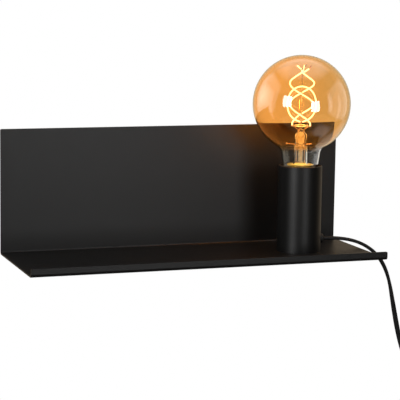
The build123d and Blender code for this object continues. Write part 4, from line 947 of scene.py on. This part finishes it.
# %% End of the strap
END_LENGTH, END_WIDTH, END_LEAVES, END_CURL, END_GAP = 17 * MM, 9.6 * MM, 3 * MM, 45, 0.15 * MM
shape = bmesh.new()
bmesh.ops.create_grid(shape, x_segments=8, y_segments=3, size=0.5)
bmesh.ops.scale(shape, vec=(END_LENGTH, END_WIDTH, 1), verts=shape.verts)
tip = [corner for corner in shape.verts if abs(corner.co.x) > 8 * MM and abs(corner.co.y) > 4 * MM]
bmesh.ops.scale(shape, vec=(0.9, 0.8, 1), verts=tip)
for corner in shape.verts:
    corner.co.z = END_GAP + max(0, corner.co.x - END_LEAVES) ** 2 * END_CURL
shape = moved(leaned(shape, math.radians(90)), (middle.x + 2 * MM, low.y, middle.z))
bmesh.ops.recalc_face_normals(shape, faces=shape.faces[:])
strap_end = piece("strap_end", shape, woven, "lamp", STRAP_SHARP)
thicken(strap_end, 0.8, 0)

# %% [markdown]
# ## Plug
# The flat plug is moulded in one piece: a rounded block that narrows to a ribbed neck, which keeps the
# cord from kinking. The block is a rounded outline, raised step by step and scaled, and the neck is
# turned from a stepped line. A row of the block gives a height and the shares of its width and depth.

# %% Block of the plug
PLUG_HALF_WIDTH, PLUG_HALF_DEPTH, PLUG_CORNER = 17.5 * MM, 7 * MM, 4.2 * MM
PLUG_ROWS = [
    (0.0, 0.93, 0.86), (0.5, 0.975, 0.95), (1.4, 1.0, 1.0), (11.0, 1.0, 1.0), (13.0, 0.985, 0.99),
    (16.0, 0.93, 0.97), (20.0, 0.81, 0.94), (24.0, 0.67, 0.91), (28.0, 0.53, 0.87), (31.0, 0.43, 0.83),
    (33.0, 0.37, 0.78), (34.0, 0.33, 0.72),
]
block = rounded_loop(PLUG_HALF_WIDTH, PLUG_HALF_DEPTH, PLUG_CORNER, 8)
face = bmesh.ops.contextual_create(block, geom=block.edges[:])["faces"][0]
last_level, last_wide, last_deep = 0.0, 1.0, 1.0
for index, (level, wide, deep) in enumerate(PLUG_ROWS):
    if index:
        raised = bmesh.ops.extrude_face_region(block, geom=[face])["geom"]
        bmesh.ops.delete(block, geom=[face], context="FACES_ONLY")
        face = next(item for item in raised if isinstance(item, bmesh.types.BMFace))
        bmesh.ops.translate(block, verts=face.verts[:], vec=(0, 0, (level - last_level) * MM))
    bmesh.ops.scale(block, vec=(wide / last_wide, deep / last_deep, 1), verts=face.verts[:])
    last_level, last_wide, last_deep = level, wide, deep
bmesh.ops.contextual_create(block, geom=[edge for edge in block.edges if edge.is_boundary])
bmesh.ops.recalc_face_normals(block, faces=block.faces[:])
print("plug block with", len(block.faces), "faces")

# %% Neck of the plug
RIBS, RIB_PITCH, RIB_OUT, RIB_TAPER, PLUG_SHARP = 6, 3.5, 4.9, 0.24, 40
block_top = PLUG_ROWS[-1][0]
neck = [(0, block_top), (5.2, block_top)]
for rib in range(RIBS):
    foot, out = block_top + rib * RIB_PITCH, RIB_OUT - rib * RIB_TAPER
    neck += [(out, foot), (out, foot + 1.9), (out - 0.25, foot + 2.15), (out - 0.95, foot + 2.3),
             (out - 0.95, foot + 3.2), (out - 0.5, foot + 3.4)]
neck += [(3.6, 55.0), (3.45, 55.8), (3.1, 56.0), (0, 56.0)]
low, high = (Vector(corner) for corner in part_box("plug_body"))
shape = moved(joined(block, turned(neck, 40)), ((low.x + high.x) / 2, (low.y + high.y) / 2, low.z))
moulded_plug = piece("moulded_plug", shape, plastic, "lamp", PLUG_SHARP)
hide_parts("plug_body")

# %% [markdown]
# ## Small parts of the switch
# The rocker carries the two usual marks, a bar for on and a ring for off, printed in white. They are drawn
# flat, laid on the two slopes of the key, and then turned with it about its pivot.

# %% Marks on the rocker
SWITCH = Vector((0.2490, -0.0534, -0.2755))
PIVOT = SWITCH + Vector((0, -3.0 * MM, 0))
TILT = math.radians(8)
KEY_MIDDLE, KEY_RISE, KEY_HALF_LENGTH, MARK_OUT = 4.51, 0.6, 7.41, 3.9
BAR_SIZE = (0.7 * MM, 2.8 * MM, 0.16 * MM)
RING = [(1.1, -0.08), (1.7, -0.08), (1.72, 0.0), (1.7, 0.08), (1.1, 0.08), (1.08, 0.0), (1.1, -0.08)]
mark_paint = finish("white_marks", (0.72, 0.72, 0.70), 0.5)
vary_colour(mark_paint, pattern(mark_paint, 900.0), (0.66, 0.66, 0.64), (0.76, 0.76, 0.74))
bar = bmesh.new()
bmesh.ops.create_cube(bar, size=1.0)
bmesh.ops.scale(bar, vec=BAR_SIZE, verts=bar.verts)
bmesh.ops.bevel(bar, geom=bar.edges[:], offset=0.05 * MM, affect="EDGES", segments=2, profile=0.5,
                material=-1)
slope = math.atan2(KEY_RISE, KEY_HALF_LENGTH)
mark_height = KEY_MIDDLE + KEY_RISE * MARK_OUT / KEY_HALF_LENGTH
shape = joined(
    moved(leaned(bar, slope), (0, MARK_OUT * MM, mark_height * MM)),
    moved(leaned(turned(RING, 32), -slope), (0, -MARK_OUT * MM, mark_height * MM)),
)
key_up = Vector((0, math.sin(TILT), math.cos(TILT)))
key_out = Vector((0, -math.cos(TILT), math.sin(TILT)))
key_frame = Matrix((Vector((1, 0, 0)), key_up, key_out)).transposed().to_4x4()
bmesh.ops.transform(shape, matrix=Matrix.Translation(PIVOT) @ key_frame, verts=shape.verts)
piece("rocker_marks", shape, mark_paint, "rocker")

# %% [markdown]
# The two screws at the back of the switch have a cross recess: a disc is cut by eight lines, and the cross
# between them sinks. The rest of the screw is turned.

# %% Switch screws
SCREW_PLACES = ((6.6, 20.0), (-6.6, -20.0))
HEAD_RADIUS, ARM_HALF_WIDTH, ARM_LENGTH, CROSS_DEPTH, HEAD_BEHIND = 2.2, 0.42, 1.35, 0.7, 7.5
SHANK = [(HEAD_RADIUS, 0), (HEAD_RADIUS, -1.6), (1.25, -1.6), (1.25, -11.6), (0, -11.6)]


def cross_head():
    """A level disc with a sunken cross."""
    head = bmesh.new()
    bmesh.ops.create_circle(head, cap_ends=True, radius=HEAD_RADIUS * MM, segments=40)
    for reach_out in (ARM_HALF_WIDTH, ARM_LENGTH):
        for cut in (Vector((1, 0, 0)), Vector((0, 1, 0))):
            for side in (-1, 1):
                bmesh.ops.bisect_plane(head, geom=head.verts[:] + head.edges[:] + head.faces[:],
                                       plane_co=cut * side * reach_out * MM, plane_no=cut)
    cross = []
    for face in head.faces:
        near, far = sorted(abs(value) / MM for value in face.calc_center_median().xy)
        if far < ARM_LENGTH and near < ARM_HALF_WIDTH:
            cross.append(face)
    raised = bmesh.ops.extrude_face_region(head, geom=cross)["geom"]
    bmesh.ops.delete(head, geom=cross, context="FACES")
    sunk = [item for item in raised if isinstance(item, bmesh.types.BMVert)]
    bmesh.ops.translate(head, verts=sunk, vec=(0, 0, -CROSS_DEPTH * MM))
    return head


screws = []
for x, z in SCREW_PLACES:
    screw = joined(cross_head(), turned(SHANK, 40))
    bmesh.ops.remove_doubles(screw, verts=screw.verts[:], dist=WELD)
    bmesh.ops.recalc_face_normals(screw, faces=screw.faces[:])
    screws.append(moved(leaned(screw, math.radians(-90)), SWITCH + MM * Vector((x, HEAD_BEHIND, z))))
cross_screws = piece("cross_screws", joined(*screws), zinc, "lamp")
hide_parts("switch_screws")

# %% [markdown]
# ## Free cord
# The pieces that hang on the cord are gathered in a list.

CORD_SOLIDS = ("switch_front", "switch_back", "switch_terminals", "switch_rocker", "plug_pins",
               "pin_sleeves")
on_cord = [nodes[name] for name in CORD_SOLIDS]
on_cord += [coil_strap, strap_end, moulded_plug, cross_screws]
print("cord declared with", len(on_cord), "pieces")

# %% [markdown]
# ## Size
# Blender doesn't change the part's size. The view layer is brought up to date.

# %% Update the view layer
bpy.context.view_layer.update()
